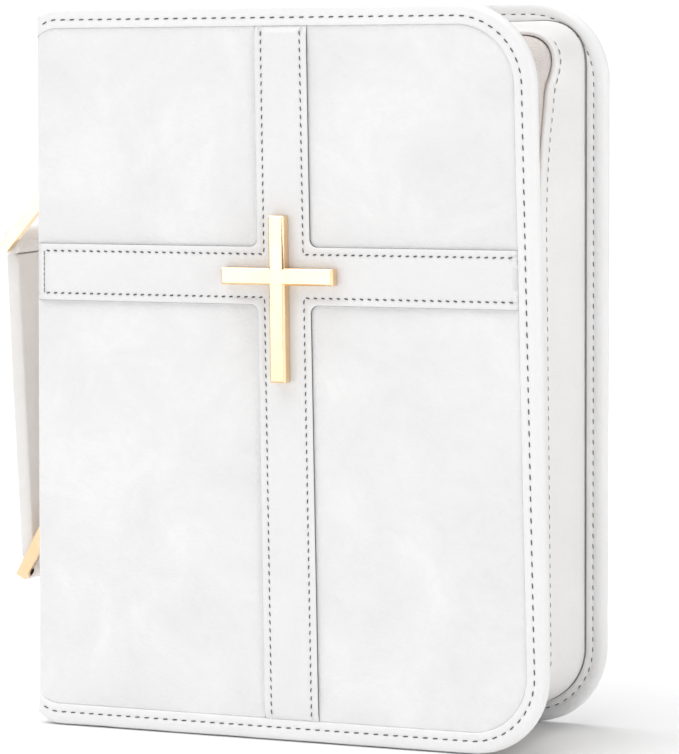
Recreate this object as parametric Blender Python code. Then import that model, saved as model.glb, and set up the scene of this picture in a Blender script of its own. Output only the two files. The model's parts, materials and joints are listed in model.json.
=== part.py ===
"""Zipped Bible cover with a Bible inside, standing upright on its bottom edges.

Design space, in millimetres: x runs from the outer face of the spine towards the fore-edge,
y runs from the outer face of the front cover towards the back cover, z is up from the ground.
World space is the same, in metres, with the bounding box centred on X and Y.
"""
import math

import bmesh
import bpy
from mathutils import Matrix, Vector

for old_object in list(bpy.data.objects):
    bpy.data.objects.remove(old_object, do_unlink=True)

# ---------------------------------------------------------------- driving dimensions (mm)
COVER_WIDTH = 203.0
COVER_HEIGHT = 270.0
COVER_DEPTH = 72.0
FORE_CORNER_RADIUS = 30.0
CORNER_STEPS = 7
GAP = 0.3

# Layers of each cover, from its outer face inwards
PANEL_SINK = 0.8
SKIN = 1.0
BOARD = 1.8
WASHER = 0.4
LINING = 0.5
FLANGE = PANEL_SINK + SKIN + BOARD + WASHER + LINING + 3 * GAP
BAND_WIDTH = 8.0
BAND_ROLL = 1.7

# Leather cross laid over the front cover, and the metal cross on it
OVERLAY = 1.2
OVERLAY_HALF = 10.6
OVERLAY_FILLET = 3.0
OVERLAY_SPINE_MARGIN = 1.5
CROSS_X = 103.7
CROSS_HEIGHT_ABOVE_GROUND = 171.5
EMBLEM_X = 102.7
EMBLEM_THICKNESS = 4.5
EMBLEM_HALF_BAR = 3.1
EMBLEM_UP = 22.1
EMBLEM_DOWN = 38.7
EMBLEM_SIDE = 22.3
EMBLEM_BEVEL = 0.7
POST_OVERLAP = 1.0
POST_RADIUS = 1.0
POST_OFFSETS = (14.0, -28.0)
WASHER_RADIUS = 4.0

# Spine
SPINE_LEATHER = 1.2
SPINE_BOARD = 1.8
SPINE_LINING = 0.5
SPINE_END_BAND = 4.6
SPINE_BOARD_INSET = 2.0

# Gusset wall and zip, all set in from the covers' edges
GUSSET_INSET = 10.4
GUSSET_THICKNESS = 1.4
GUSSET_HEM = 29.0
GUSSET_START = 5.0
TAPE_INSET = GUSSET_INSET + GUSSET_THICKNESS + GAP
TAPE_THICKNESS = 0.7
TEETH_INSET = 11.2
TEETH_THICKNESS = 2.6
TEETH_WIDTH = 1.8
TEETH_PARTING = 1.6
ZIP_CENTRE = 18.5
TAPE_UNDER_GUSSET = 7.0
TEETH_START = 12.5
STOP_LENGTH = 3.0

# Zip slider on the top run
SLIDER_REST = 34.0
SLIDER_LENGTH = 11.0
SLIDER_HALF_WIDTH = 4.5
SLIDER_PLATE = 1.4
SLIDER_LIP = 0.8
SLIDER_LIP_WIDTH = 1.0
SLIDER_POST = 1.0
BAIL_RADIUS = 2.6
BAIL_HOLE = 1.2
BAIL_WIDTH = 1.2
BAIL_RISE = 1.7
PULL_LENGTH = 26.0
PULL_WIDTH = 7.0
PULL_THICKNESS = 1.0
PULL_BAR = 0.75
PULL_WINDOW = (4.3, 2.4)

# Handle: two tabs on the spine, two rings, one strap
HANDLE_CENTRE = COVER_DEPTH / 2
TAB_STANDOFF = 5.0
TAB_TOP_PIVOT = 198.3
TAB_BOTTOM_PIVOT = 75.6
TAB_HALF_WIDTH = 14.0
TAB_PLATE = 2.2
TAB_PLATE_LENGTH = 24.0
TAB_LOOP_RADIUS = 3.1
TAB_LOOP_START = 70.0
TAB_FOLD = 5.0
BAR_RADIUS = 1.5
BAR_HOLE = 1.9
RING_LENGTH = 23.4
RING_LEG_WIDTH = 4.3
RING_LEG_DEPTH = 3.4
RING_INNER_HALF = 15.3
RING_TIP = 2.8
TOP_RING_DROOP = math.radians(48.0)
BOTTOM_RING_DROOP = math.radians(61.0)
STRAP_HALF_WIDTH = 15.0
STRAP_HALF_THICKNESS = 2.7
STRAP_LEATHER = 1.1
STRAP_TOP_LOOP = 3.8
STRAP_BOTTOM_LOOP = 3.7
STRAP_BOTTOM_HOLE = 2.6
STRAP_LOOP_SEAM = 11.0
CORE_INSET = 1.0

# The Bible
BIBLE_BOTTOM = 14.7
BIBLE_HEIGHT = 236.0
BIBLE_BOARD = 2.4
BIBLE_FRONT = 8.5
BIBLE_FORE = 173.5
BIBLE_SPINE = 2.0
BIBLE_SQUARE = 3.0
PAGE_START = 7.6
HEADBAND = 1.8

# Pockets that hold the Bible's covers
SLEEVE_START = 118.0
SLEEVE_FORE = 176.0
SLEEVE_SHEET = 1.0
SLEEVE_WALL = 1.2
SLEEVE_BOTTOM = 13.2
SLEEVE_TOP = 252.6


def ring_bar(pivot_z, droop):
    """Centre of a ring's outer bar, seen from the side, as (x, z)."""
    return (-TAB_STANDOFF - RING_LENGTH * math.cos(droop), pivot_z - RING_LENGTH * math.sin(droop))


TOP_BAR = ring_bar(TAB_TOP_PIVOT, TOP_RING_DROOP)
BOTTOM_BAR = ring_bar(TAB_BOTTOM_PIVOT, BOTTOM_RING_DROOP)
HANDLE_REACH = STRAP_TOP_LOOP - TOP_BAR[0]
OVERLAY_FACE = PANEL_SINK - GAP - OVERLAY
EMBLEM_REACH = EMBLEM_THICKNESS + GAP - OVERLAY_FACE
CENTRE = Vector(((COVER_WIDTH - HANDLE_REACH) / 2, (COVER_DEPTH - EMBLEM_REACH) / 2, 0.0))
FRONT_HINGE = Vector((0.0, FLANGE + GAP / 2, 0.0))
ZIP_HEIGHT = COVER_HEIGHT - TEETH_INSET - TEETH_THICKNESS / 2
SLIDER_TOP = COVER_HEIGHT - TEETH_INSET + GAP + SLIDER_PLATE
PULL_HINGE = Vector((SLIDER_REST, ZIP_CENTRE, SLIDER_TOP + BAIL_RISE))


def world(x, y, z):
    """Design millimetres to world metres."""
    return (Vector((x, y, z)) - CENTRE) / 1000


# ---------------------------------------------------------------- materials
COLOURS = {
    "leather": ((0.90, 0.89, 0.87), 0.55, 0.0),
    "smooth_leather": ((0.93, 0.92, 0.91), 0.45, 0.0),
    "handle_leather": ((0.90, 0.89, 0.88), 0.5, 0.0),
    "gusset_leather": ((0.87, 0.86, 0.83), 0.55, 0.0),
    "lining": ((0.80, 0.77, 0.73), 0.85, 0.0),
    "board": ((0.45, 0.38, 0.30), 0.9, 0.0),
    "zip_tape": ((0.85, 0.84, 0.82), 0.8, 0.0),
    "zip_coil": ((0.88, 0.87, 0.85), 0.35, 0.0),
    "gold": ((0.93, 0.76, 0.55), 0.15, 1.0),
    "plain_metal": ((0.6, 0.58, 0.55), 0.35, 1.0),
    "foam": ((0.75, 0.73, 0.70), 0.95, 0.0),
    "pages": ((0.90, 0.87, 0.80), 0.9, 0.0),
    "bible_cover": ((0.20, 0.10, 0.06), 0.5, 0.0),
    "headband": ((0.75, 0.62, 0.38), 0.7, 0.0),
}


def make_material(name):
    """One Principled material of its own for a sub-part."""
    colour, roughness, metallic = COLOURS[name]
    material = bpy.data.materials.new(name)
    material.use_nodes = True
    shader = material.node_tree.nodes["Principled BSDF"]
    shader.inputs["Base Color"].default_value = (*colour, 1.0)
    shader.inputs["Roughness"].default_value = roughness
    shader.inputs["Metallic"].default_value = metallic
    return material


# ---------------------------------------------------------------- making objects
def add_object(name, mesh_builder, colour, pivot=None, parent=None):
    """Turn a bmesh in design millimetres into a named object whose origin is the pivot."""
    origin = pivot or Vector((0.0, 0.0, 0.0))
    bmesh.ops.recalc_face_normals(mesh_builder, faces=mesh_builder.faces)
    bmesh.ops.translate(mesh_builder, verts=mesh_builder.verts, vec=-origin)
    bmesh.ops.scale(mesh_builder, verts=mesh_builder.verts, vec=(0.001, 0.001, 0.001))
    mesh = bpy.data.meshes.new(name)
    mesh_builder.to_mesh(mesh)
    mesh_builder.free()
    mesh.materials.append(make_material(colour))
    thing = bpy.data.objects.new(name, mesh)
    thing.location = world(*origin)
    if parent:
        thing.parent = parent
        thing.location = world(*origin) - parent.location
    bpy.context.scene.collection.objects.link(thing)
    return thing


def add_empty(name, pivot):
    """An empty on a joint's axis, which the moving pieces hang from."""
    empty = bpy.data.objects.new(name, None)
    empty.location = world(*pivot)
    bpy.context.scene.collection.objects.link(empty)
    return empty


def add_cutter(name, mesh_builder, target, operation="DIFFERENCE"):
    """A hidden guide solid that cuts, or joins, its target."""
    cutter = add_object(name, mesh_builder, "foam", pivot=None)
    cutter.hide_render = True
    cutter.display_type = "WIRE"
    step = target.modifiers.new(name, "BOOLEAN")
    step.operation = operation
    step.solver = "EXACT"
    step.object = cutter
    return cutter


def round_off(thing, angle=35.0):
    """Smooth shading with sharp edges kept."""
    thing.data.shade_smooth()
    thing.data.set_sharp_from_angle(angle=math.radians(angle))


# ---------------------------------------------------------------- shapes
def extrude(outline, axis, low, high, builder=None):
    """A prism: a flat outline of (a, b) points pushed along 'y', 'x' or 'z' from low to high."""
    builder = builder or bmesh.new()
    order = {"y": lambda a, b, c: (a, c, b), "x": lambda a, b, c: (c, a, b), "z": lambda a, b, c: (a, b, c)}
    place = order[axis]
    near = [builder.verts.new(place(a, b, low)) for a, b in outline]
    far = [builder.verts.new(place(a, b, high)) for a, b in outline]
    builder.faces.new(near)
    builder.faces.new(far)
    for index in range(len(outline)):
        following = (index + 1) % len(outline)
        builder.faces.new((near[index], near[following], far[following], far[index]))
    return builder


def block(x_span, y_span, z_span, builder=None):
    """A plain box."""
    corners = [(x_span[0], z_span[0]), (x_span[1], z_span[0]), (x_span[1], z_span[1]), (x_span[0], z_span[1])]
    return extrude(corners, "y", y_span[0], y_span[1], builder)


def arc(centre_a, centre_b, radius, start, end, steps):
    """Points of an arc, in degrees, ends included."""
    turns = [math.radians(start + (end - start) * step / steps) for step in range(steps + 1)]
    return [(centre_a + radius * math.cos(turn), centre_b + radius * math.sin(turn)) for turn in turns]


def three_sides(inset, start):
    """A path round the top, fore-edge and bottom, as (x, z) points. It is open at the spine."""
    fore = FORE_CORNER_RADIUS - inset
    high_x, high_z = COVER_WIDTH - inset, COVER_HEIGHT - inset
    points = [(start, high_z)]
    points += arc(high_x - fore, high_z - fore, fore, 90, 0, CORNER_STEPS)
    points += arc(high_x - fore, inset + fore, fore, 0, -90, CORNER_STEPS)
    points += [(start, inset)]
    return points


def loft(paths, depths):
    """Join open paths that share their number of points into a bar, closed at both ends."""
    builder = bmesh.new()
    rows = [[builder.verts.new((x, y, z)) for x, z in path] for path, y in zip(paths, depths)]
    for row, near in enumerate(rows):
        far = rows[(row + 1) % len(rows)]
        for index in range(len(near) - 1):
            builder.faces.new((near[index], near[index + 1], far[index + 1], far[index]))
    builder.faces.new([row[0] for row in rows])
    builder.faces.new([row[-1] for row in rows])
    return builder


def edge_band(name, outer_face, inner_face, parent):
    """The rolled leather band round a cover's three free sides. It is rounded on both faces."""
    inward = 1.0 if inner_face > outer_face else -1.0
    half = BAND_ROLL * 0.3
    section = [
        (BAND_WIDTH, 0.0), (BAND_ROLL, 0.0), (half, half), (0.0, BAND_ROLL),
        (0.0, FLANGE - BAND_ROLL), (half, FLANGE - half), (BAND_ROLL, FLANGE), (BAND_WIDTH, FLANGE),
    ]
    paths = [three_sides(inset, 0.0) for inset, _ in section]
    depths = [outer_face + inward * depth for _, depth in section]
    band = add_object(name, loft(paths, depths), "smooth_leather", pivot_of(parent), parent)
    round_off(band)
    return band


def wall_strip(name, inset, thickness, y_span, start, colour, parent=None):
    """A strip that follows the gusset's path."""
    outer = three_sides(inset, start)
    inner = three_sides(inset + thickness, start)
    paths = [outer, inner, inner, outer]
    depths = [y_span[0], y_span[0], y_span[1], y_span[1]]
    strip = add_object(name, loft(paths, depths), colour, pivot_of(parent), parent)
    round_off(strip)
    return strip


def pivot_of(parent):
    """The front cover's pieces have their origin on its hinge axis."""
    return FRONT_HINGE if parent else None


# ---------------------------------------------------------------- the covers
def cover_layers(side, outer_face, inward, parent=None):
    """Skin, board and lining, each a sheet inside the edge band."""
    inset = BAND_WIDTH + GAP
    sheets = {}
    layers = (("cover_skin", SKIN, "leather"), ("board", BOARD, "board"), ("lining", LINING, "lining"))
    depth = PANEL_SINK
    for layer, thickness, colour in layers:
        if layer == "lining":
            depth = FLANGE - LINING
        near = outer_face + inward * depth
        far = near + inward * thickness
        sheet = extrude(three_sides(inset, 0.0), "y", min(near, far), max(near, far))
        sheets[layer] = add_object(f"{side}_{layer}", sheet, colour, pivot_of(parent), parent)
        depth += thickness + GAP
    return sheets


def post_holes():
    """A guide with the two posts' holes through the cover's layers."""
    builder = bmesh.new()
    for offset in POST_OFFSETS:
        hole = arc(EMBLEM_X, CROSS_HEIGHT_ABOVE_GROUND + offset, POST_RADIUS + GAP, 0, 330, 11)
        extrude(hole, "y", -EMBLEM_REACH, FLANGE - LINING - GAP / 2, builder)
    return builder


def cross_outline(side, up, down, half, fillet, centre):
    """A Latin cross in x and z, with small fillets in its inner corners when asked for."""
    x, z = centre
    inner = ((1, 1, 270, 180), (-1, 1, 360, 270), (-1, -1, 90, 0), (1, -1, 180, 90))
    tips = (
        ((half, up), (-half, up)), ((-side[0], half), (-side[0], -half)),
        ((-half, -down), (half, -down)), ((side[1], -half), (side[1], half)),
    )
    points = []
    for (sign_x, sign_z, start, end), tip in zip(inner, tips):
        reach = half + fillet
        if fillet:
            points += arc(x + sign_x * reach, z + sign_z * reach, fillet, start, end, 3)
        else:
            points.append((x + sign_x * half, z + sign_z * half))
        points += [(x + a, z + b) for a, b in tip]
    return points


def cross_overlay(parent):
    """The stitched leather cross over the front cover."""
    centre = (CROSS_X, CROSS_HEIGHT_ABOVE_GROUND)
    margin = BAND_WIDTH + GAP
    up = COVER_HEIGHT - margin - centre[1]
    down = centre[1] - margin
    side = (CROSS_X - OVERLAY_SPINE_MARGIN, COVER_WIDTH - margin - CROSS_X)
    outline = cross_outline(side, up, down, OVERLAY_HALF, OVERLAY_FILLET, centre)
    sheet = extrude(outline, "y", OVERLAY_FACE, OVERLAY_FACE + OVERLAY)
    return add_object("cross_overlay_band", sheet, "smooth_leather", FRONT_HINGE, parent)


def cross_emblem(parent):
    """The metal cross with its bevelled face and two posts through the cover."""
    centre = (EMBLEM_X, CROSS_HEIGHT_ABOVE_GROUND)
    side = (EMBLEM_SIDE, EMBLEM_SIDE)
    base = cross_outline(side, EMBLEM_UP, EMBLEM_DOWN, EMBLEM_HALF_BAR, 0, centre)
    small_side = (EMBLEM_SIDE - EMBLEM_BEVEL, EMBLEM_SIDE - EMBLEM_BEVEL)
    face = cross_outline(small_side, EMBLEM_UP - EMBLEM_BEVEL, EMBLEM_DOWN - EMBLEM_BEVEL,
                         EMBLEM_HALF_BAR - EMBLEM_BEVEL, 0, centre)
    back_y, front_y = OVERLAY_FACE - GAP, -EMBLEM_REACH
    builder = bmesh.new()
    rows = []
    for loop, y in ((base, back_y), (base, front_y + EMBLEM_BEVEL), (face, front_y)):
        rows.append([builder.verts.new((x, y, z)) for x, z in loop])
    for near, far in zip(rows, rows[1:]):
        for index in range(len(near)):
            following = (index + 1) % len(near)
            builder.faces.new((near[index], near[following], far[following], far[index]))
    builder.faces.new(rows[0])
    builder.faces.new(rows[-1])
    emblem = add_object("cross_emblem", builder, "gold", FRONT_HINGE, parent)
    posts = bmesh.new()
    for offset in POST_OFFSETS:
        post = arc(EMBLEM_X, CROSS_HEIGHT_ABOVE_GROUND + offset, POST_RADIUS, 0, 330, 11)
        extrude(post, "y", back_y - POST_OVERLAP, FLANGE - LINING - 2 * GAP, posts)
    add_cutter("emblem_post_guide", posts, emblem, "UNION")
    return emblem


def emblem_washers(parent):
    """Round washers that hold the cross's posts behind the board."""
    near = PANEL_SINK + SKIN + BOARD + 2 * GAP
    for place, offset in zip(("upper", "lower"), POST_OFFSETS):
        disc = arc(EMBLEM_X, CROSS_HEIGHT_ABOVE_GROUND + offset, WASHER_RADIUS, 0, 345, 23)
        washer = add_object(f"emblem_washer_{place}", extrude(disc, "y", near, near + WASHER),
                            "plain_metal", FRONT_HINGE, parent)
        add_cutter(f"washer_hole_guide_{place}", post_holes(), washer)


def sleeve(name, lining_face, inward, parent=None):
    """A pocket on a cover's lining, open towards the spine, for one cover of the Bible."""
    rim = lining_face + inward * GAP
    sheet_near = rim + inward * (BIBLE_BOARD + GAP)
    sheet_far = sheet_near + inward * SLEEVE_SHEET
    y_span = sorted((rim, sheet_far))
    pocket = add_object(name, block((SLEEVE_START, SLEEVE_FORE), y_span, (SLEEVE_BOTTOM, SLEEVE_TOP)),
                        "lining", pivot_of(parent), parent)
    hollow_y = sorted((rim - inward, sheet_near))
    hollow = block((SLEEVE_START - 1, SLEEVE_FORE - SLEEVE_WALL), hollow_y,
                   (SLEEVE_BOTTOM + SLEEVE_WALL, SLEEVE_TOP - SLEEVE_WALL))
    add_cutter(name + "_hollow_guide", hollow, pocket)
    return pocket


# ---------------------------------------------------------------- spine, gusset and zip
def spine_pieces():
    """Leather, board and lining of the spine, and the band over each of its ends."""
    y_span = (FLANGE + GAP, COVER_DEPTH - FLANGE - GAP)
    board_y = (y_span[0] + SPINE_BOARD_INSET, y_span[1] - SPINE_BOARD_INSET)
    z_span = (BAND_WIDTH + GAP, COVER_HEIGHT - BAND_WIDTH - GAP)
    add_object("spine_panel", block((0.0, SPINE_LEATHER), y_span, z_span), "leather")
    start = SPINE_LEATHER + GAP
    add_object("spine_board", block((start, start + SPINE_BOARD), board_y, z_span), "board")
    start += SPINE_BOARD + GAP
    add_object("spine_lining", block((start, start + SPINE_LINING), board_y, z_span), "lining")
    for end, low, high in (("bottom", 0.0, BAND_WIDTH), ("top", COVER_HEIGHT - BAND_WIDTH, COVER_HEIGHT)):
        add_object(f"spine_band_{end}", block((0.0, SPINE_END_BAND), y_span, (low, high)), "smooth_leather")


def zip_rows(front_body):
    """Tapes, teeth and end stops of both halves of the zip."""
    half = TEETH_PARTING / 2
    front_teeth = (ZIP_CENTRE - half - TEETH_WIDTH, ZIP_CENTRE - half)
    back_teeth = (ZIP_CENTRE + half, ZIP_CENTRE + half + TEETH_WIDTH)
    front_tape = (FLANGE + GAP, front_teeth[0] - GAP)
    back_tape = (back_teeth[1] + GAP, GUSSET_HEM + TAPE_UNDER_GUSSET)
    wall_strip("zip_tape_front", TAPE_INSET, TAPE_THICKNESS, front_tape, GUSSET_START, "zip_tape", front_body)
    wall_strip("zip_tape_back", TAPE_INSET, TAPE_THICKNESS, back_tape, GUSSET_START, "zip_tape")
    wall_strip("zip_teeth_front", TEETH_INSET, TEETH_THICKNESS, front_teeth, TEETH_START, "zip_coil",
               front_body)
    wall_strip("zip_teeth_back", TEETH_INSET, TEETH_THICKNESS, back_teeth, TEETH_START, "zip_coil")
    x_span = (TEETH_START - GAP - STOP_LENGTH, TEETH_START - GAP)
    ends = (("bottom", TEETH_INSET), ("top", COVER_HEIGHT - TEETH_INSET - TEETH_THICKNESS))
    for side, span, parent in (("front", front_teeth, front_body), ("back", back_teeth, None)):
        for end, low in ends:
            stop = block(x_span, span, (low, low + TEETH_THICKNESS))
            add_object(f"zip_stop_{side}_{end}", stop, "gold", pivot_of(parent), parent)


def zip_slider():
    """Two plates joined by the post that parts the rows, with lips over the back tape only."""
    low, high = ZIP_CENTRE - SLIDER_HALF_WIDTH, ZIP_CENTRE + SLIDER_HALF_WIDTH
    post = SLIDER_POST / 2
    outer = TEETH_THICKNESS / 2 + GAP
    plate = outer + SLIDER_PLATE
    lip_in = high - SLIDER_LIP_WIDTH
    half_section = [(low, plate), (high, plate), (high, outer - SLIDER_LIP), (lip_in, outer - SLIDER_LIP),
                    (lip_in, outer), (ZIP_CENTRE + post, outer)]
    other_half = [(y, -z) for y, z in reversed(half_section)]
    section = half_section + other_half + [(low, -outer), (ZIP_CENTRE - post, -outer),
                                           (ZIP_CENTRE - post, outer), (low, outer)]
    section = [(y, z + ZIP_HEIGHT) for y, z in section]
    pivot = Vector((SLIDER_REST, ZIP_CENTRE, ZIP_HEIGHT))
    span = (SLIDER_REST - SLIDER_LENGTH / 2, SLIDER_REST + SLIDER_LENGTH / 2)
    slider = add_object("zip_slider", extrude(section, "x", *span), "gold", pivot)
    foot = PULL_HINGE.z - SLIDER_PLATE / 2 - BAIL_RISE
    bail = [(SLIDER_REST + BAIL_RADIUS, foot), *arc(SLIDER_REST, PULL_HINGE.z, BAIL_RADIUS, 0, 180, 10),
            (SLIDER_REST - BAIL_RADIUS, foot)]
    width = (ZIP_CENTRE - BAIL_WIDTH / 2, ZIP_CENTRE + BAIL_WIDTH / 2)
    add_cutter("bail_guide", extrude(bail, "y", *width), slider, "UNION")
    hole = arc(SLIDER_REST, PULL_HINGE.z, BAIL_HOLE, 0, 330, 11)
    add_cutter("bail_hole_guide", extrude(hole, "y", width[0] - 1, width[1] + 1), slider)


def zip_pull():
    """A flat pull whose end bar sits in the slider's bail."""
    end, half = PULL_LENGTH, PULL_WIDTH / 2
    outline = [(-PULL_BAR, -half), (end - half, -half), *arc(end - half, 0, half, -60, 60, 6),
               (end - half, half), (-PULL_BAR, half)]
    outline = [(SLIDER_REST + x, ZIP_CENTRE + y) for x, y in outline]
    low = PULL_HINGE.z - PULL_THICKNESS / 2
    pull = add_object("zip_pull", extrude(outline, "z", low, low + PULL_THICKNESS), "gold", PULL_HINGE)
    x_span = (SLIDER_REST + PULL_BAR, SLIDER_REST + PULL_BAR + PULL_WINDOW[0])
    y_span = (ZIP_CENTRE - PULL_WINDOW[1] / 2, ZIP_CENTRE + PULL_WINDOW[1] / 2)
    add_cutter("pull_window_guide", block(x_span, y_span, (low - 1, low + PULL_THICKNESS + 1)), pull)


# ---------------------------------------------------------------- handle
def handle_tab(name, pivot_z, upward):
    """A folded strap on the spine whose loop holds a ring's inner bar."""
    tip = pivot_z + upward * TAB_PLATE_LENGTH
    loop = arc(-TAB_STANDOFF, pivot_z, TAB_LOOP_RADIUS, upward * TAB_LOOP_START, upward * 360, 14)
    outline = [(-GAP, tip), (-GAP - TAB_PLATE, tip), (-GAP - TAB_PLATE, pivot_z + upward * TAB_FOLD)]
    outline += loop
    outline += [(-GAP, pivot_z)]
    y_span = (HANDLE_CENTRE - TAB_HALF_WIDTH, HANDLE_CENTRE + TAB_HALF_WIDTH)
    tab = add_object(name, extrude(outline, "y", *y_span), "leather")
    hole = arc(-TAB_STANDOFF, pivot_z, BAR_HOLE, 0, 345, 23)
    add_cutter(name + "_hole_guide", extrude(hole, "y", y_span[0] - 1, y_span[1] + 1), tab)
    round_off(tab)


def handle_ring(name, pivot_z, droop):
    """Two flat legs joined by two round bars. The inner bar lies on the ring's joint axis."""
    pivot = Vector((-TAB_STANDOFF, HANDLE_CENTRE, pivot_z))
    turn = Matrix.Rotation(-droop, 3, "Y")

    def drooping(outline, low, high):
        builder = extrude(outline, "y", low, high)
        bmesh.ops.rotate(builder, verts=builder.verts, cent=(0, 0, 0), matrix=turn)
        bmesh.ops.translate(builder, verts=builder.verts, vec=pivot)
        return builder

    half, tip = RING_LEG_WIDTH / 2, -RING_LENGTH - RING_TIP
    leg = [*arc(0, 0, half, -90, 90, 8), (tip, half), (tip, -half)]
    outer, middle = RING_INNER_HALF + RING_LEG_DEPTH, RING_INNER_HALF + RING_LEG_DEPTH / 2
    ring = add_object(name, drooping(leg, RING_INNER_HALF, outer), "gold", pivot)
    add_cutter(f"{name}_leg_guide", drooping(leg, -outer, -RING_INNER_HALF), ring, "UNION")
    for end, x in (("inner", 0.0), ("outer", -RING_LENGTH)):
        bar = arc(x, 0, BAR_RADIUS, 0, 330, 11)
        add_cutter(f"{name}_{end}_bar_guide", drooping(bar, -middle, middle), ring, "UNION")
    round_off(ring)


def along_handle(share_from_top, sideways):
    """A point in the handle's side view: so many mm down from the top bar, and outwards."""
    down = Vector((BOTTOM_BAR[0] - TOP_BAR[0], BOTTOM_BAR[1] - TOP_BAR[1])).normalized()
    out = Vector((down[1], -down[0]))
    point = Vector(TOP_BAR) + down * share_from_top + out * sideways
    return (point[0], point[1])


def handle_strap():
    """The leather grip with a loop at each end, and the stiff core inside it."""
    length = math.dist(TOP_BAR, BOTTOM_BAR)
    lean = math.degrees(math.atan2(BOTTOM_BAR[0] - TOP_BAR[0], TOP_BAR[1] - BOTTOM_BAR[1]))
    outline = arc(*TOP_BAR, STRAP_TOP_LOOP, 0 + lean, 180 + lean, 12)
    outline += [along_handle(STRAP_LOOP_SEAM, STRAP_HALF_THICKNESS),
                along_handle(length - STRAP_LOOP_SEAM, STRAP_HALF_THICKNESS)]
    outline += arc(*BOTTOM_BAR, STRAP_BOTTOM_LOOP, 180 + lean, 360 + lean, 12)
    outline += [along_handle(length - STRAP_LOOP_SEAM, -STRAP_HALF_THICKNESS),
                along_handle(STRAP_LOOP_SEAM, -STRAP_HALF_THICKNESS)]
    y_span = (HANDLE_CENTRE - STRAP_HALF_WIDTH, HANDLE_CENTRE + STRAP_HALF_WIDTH)
    beyond = (y_span[0] - 1, y_span[1] + 1)
    pivot = Vector((TOP_BAR[0], HANDLE_CENTRE, TOP_BAR[1]))
    strap = add_object("handle_strap", extrude(outline, "y", *y_span), "handle_leather", pivot)
    half = STRAP_HALF_THICKNESS - STRAP_LEATHER
    slot = [along_handle(STRAP_LOOP_SEAM, half), along_handle(length - STRAP_LOOP_SEAM, half),
            along_handle(length - STRAP_LOOP_SEAM, -half), along_handle(STRAP_LOOP_SEAM, -half)]
    holes = extrude(slot, "y", *beyond)
    extrude(arc(*TOP_BAR, BAR_HOLE, 0, 345, 23), "y", *beyond, holes)
    extrude(arc(*BOTTOM_BAR, STRAP_BOTTOM_HOLE, 0, 345, 23), "y", *beyond, holes)
    add_cutter("strap_holes_guide", holes, strap)
    round_off(strap)
    half -= GAP
    start, end = STRAP_LOOP_SEAM + GAP, length - STRAP_LOOP_SEAM - GAP
    core = [along_handle(start, half), along_handle(end, half),
            along_handle(end, -half), along_handle(start, -half)]
    inside = (y_span[0] + CORE_INSET, y_span[1] - CORE_INSET)
    add_object("handle_core", extrude(core, "y", *inside), "foam", pivot)


# ---------------------------------------------------------------- the Bible
def bible(front_body):
    """Page block, spine, headbands and two covers. Each cover sits in a pocket."""
    z_span = (BIBLE_BOTTOM, BIBLE_BOTTOM + BIBLE_HEIGHT)
    front = (FLANGE + GAP, FLANGE + GAP + BIBLE_BOARD)
    back = (COVER_DEPTH - front[1], COVER_DEPTH - front[0])
    x_span = (BIBLE_FRONT, BIBLE_FORE)
    add_object("bible_front_cover", block(x_span, front, z_span), "bible_cover", FRONT_HINGE, front_body)
    add_object("bible_back_cover", block(x_span, back, z_span), "bible_cover")
    spine_x = SPINE_LEATHER + SPINE_BOARD + SPINE_LINING + 3 * GAP
    spine_y = (front[1] + GAP, back[0] - GAP)
    add_object("bible_spine", block((spine_x, spine_x + BIBLE_SPINE), spine_y, z_span), "bible_cover")
    page_y = (front[1] + 2 * GAP + SLEEVE_SHEET, back[0] - 2 * GAP - SLEEVE_SHEET)
    page_z = (z_span[0] + BIBLE_SQUARE, z_span[1] - BIBLE_SQUARE)
    page_x = (PAGE_START, BIBLE_FORE - BIBLE_SQUARE)
    add_object("bible_page_block", block(page_x, page_y, page_z), "pages")
    band_y = (page_y[0] + 1, page_y[1] - 1)
    for end, low in (("bottom", page_z[0] - GAP - HEADBAND), ("top", page_z[1] + GAP)):
        band = block((PAGE_START, PAGE_START + HEADBAND), band_y, (low, low + HEADBAND))
        add_object(f"bible_headband_{end}", band, "headband")


# ---------------------------------------------------------------- assembly
def build():
    front_body = add_empty("front_cover_hinge", FRONT_HINGE)
    edge_band("front_edge_band", 0.0, FLANGE, front_body)
    edge_band("back_edge_band", COVER_DEPTH, COVER_DEPTH - FLANGE, None)
    front = cover_layers("front", 0.0, 1.0, front_body)
    cover_layers("back", COVER_DEPTH, -1.0)
    overlay = cross_overlay(front_body)
    for index, sheet in enumerate((front["cover_skin"], front["board"], overlay)):
        add_cutter(f"post_hole_guide_{index}", post_holes(), sheet)
    cross_emblem(front_body)
    emblem_washers(front_body)
    sleeve("front_sleeve", FLANGE, 1.0, front_body)
    sleeve("back_sleeve", COVER_DEPTH - FLANGE, -1.0)
    spine_pieces()
    gusset_y = (GUSSET_HEM, COVER_DEPTH - FLANGE - GAP)
    wall_strip("gusset_strip", GUSSET_INSET, GUSSET_THICKNESS, gusset_y, GUSSET_START, "gusset_leather")
    zip_rows(front_body)
    zip_slider()
    zip_pull()
    handle_tab("handle_tab_top", TAB_TOP_PIVOT, 1.0)
    handle_tab("handle_tab_bottom", TAB_BOTTOM_PIVOT, -1.0)
    handle_ring("handle_ring_top", TAB_TOP_PIVOT, TOP_RING_DROOP)
    handle_ring("handle_ring_bottom", TAB_BOTTOM_PIVOT, BOTTOM_RING_DROOP)
    handle_strap()
    bible(front_body)


build()
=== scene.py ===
"""Looks of the zipped Bible cover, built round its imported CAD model.

Lengths are in millimetres in the cover's own space, which starts at the front cover's outer, lower,
spine-side corner: x runs to the fore-edge, y to the back cover and z up. place() turns it into metres.
"""
import json
from math import atan2, cos, degrees, dist, pi, radians, sin, sqrt

import bmesh
import bpy
import numpy as np
from mathutils import Matrix, Vector, noise


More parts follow.
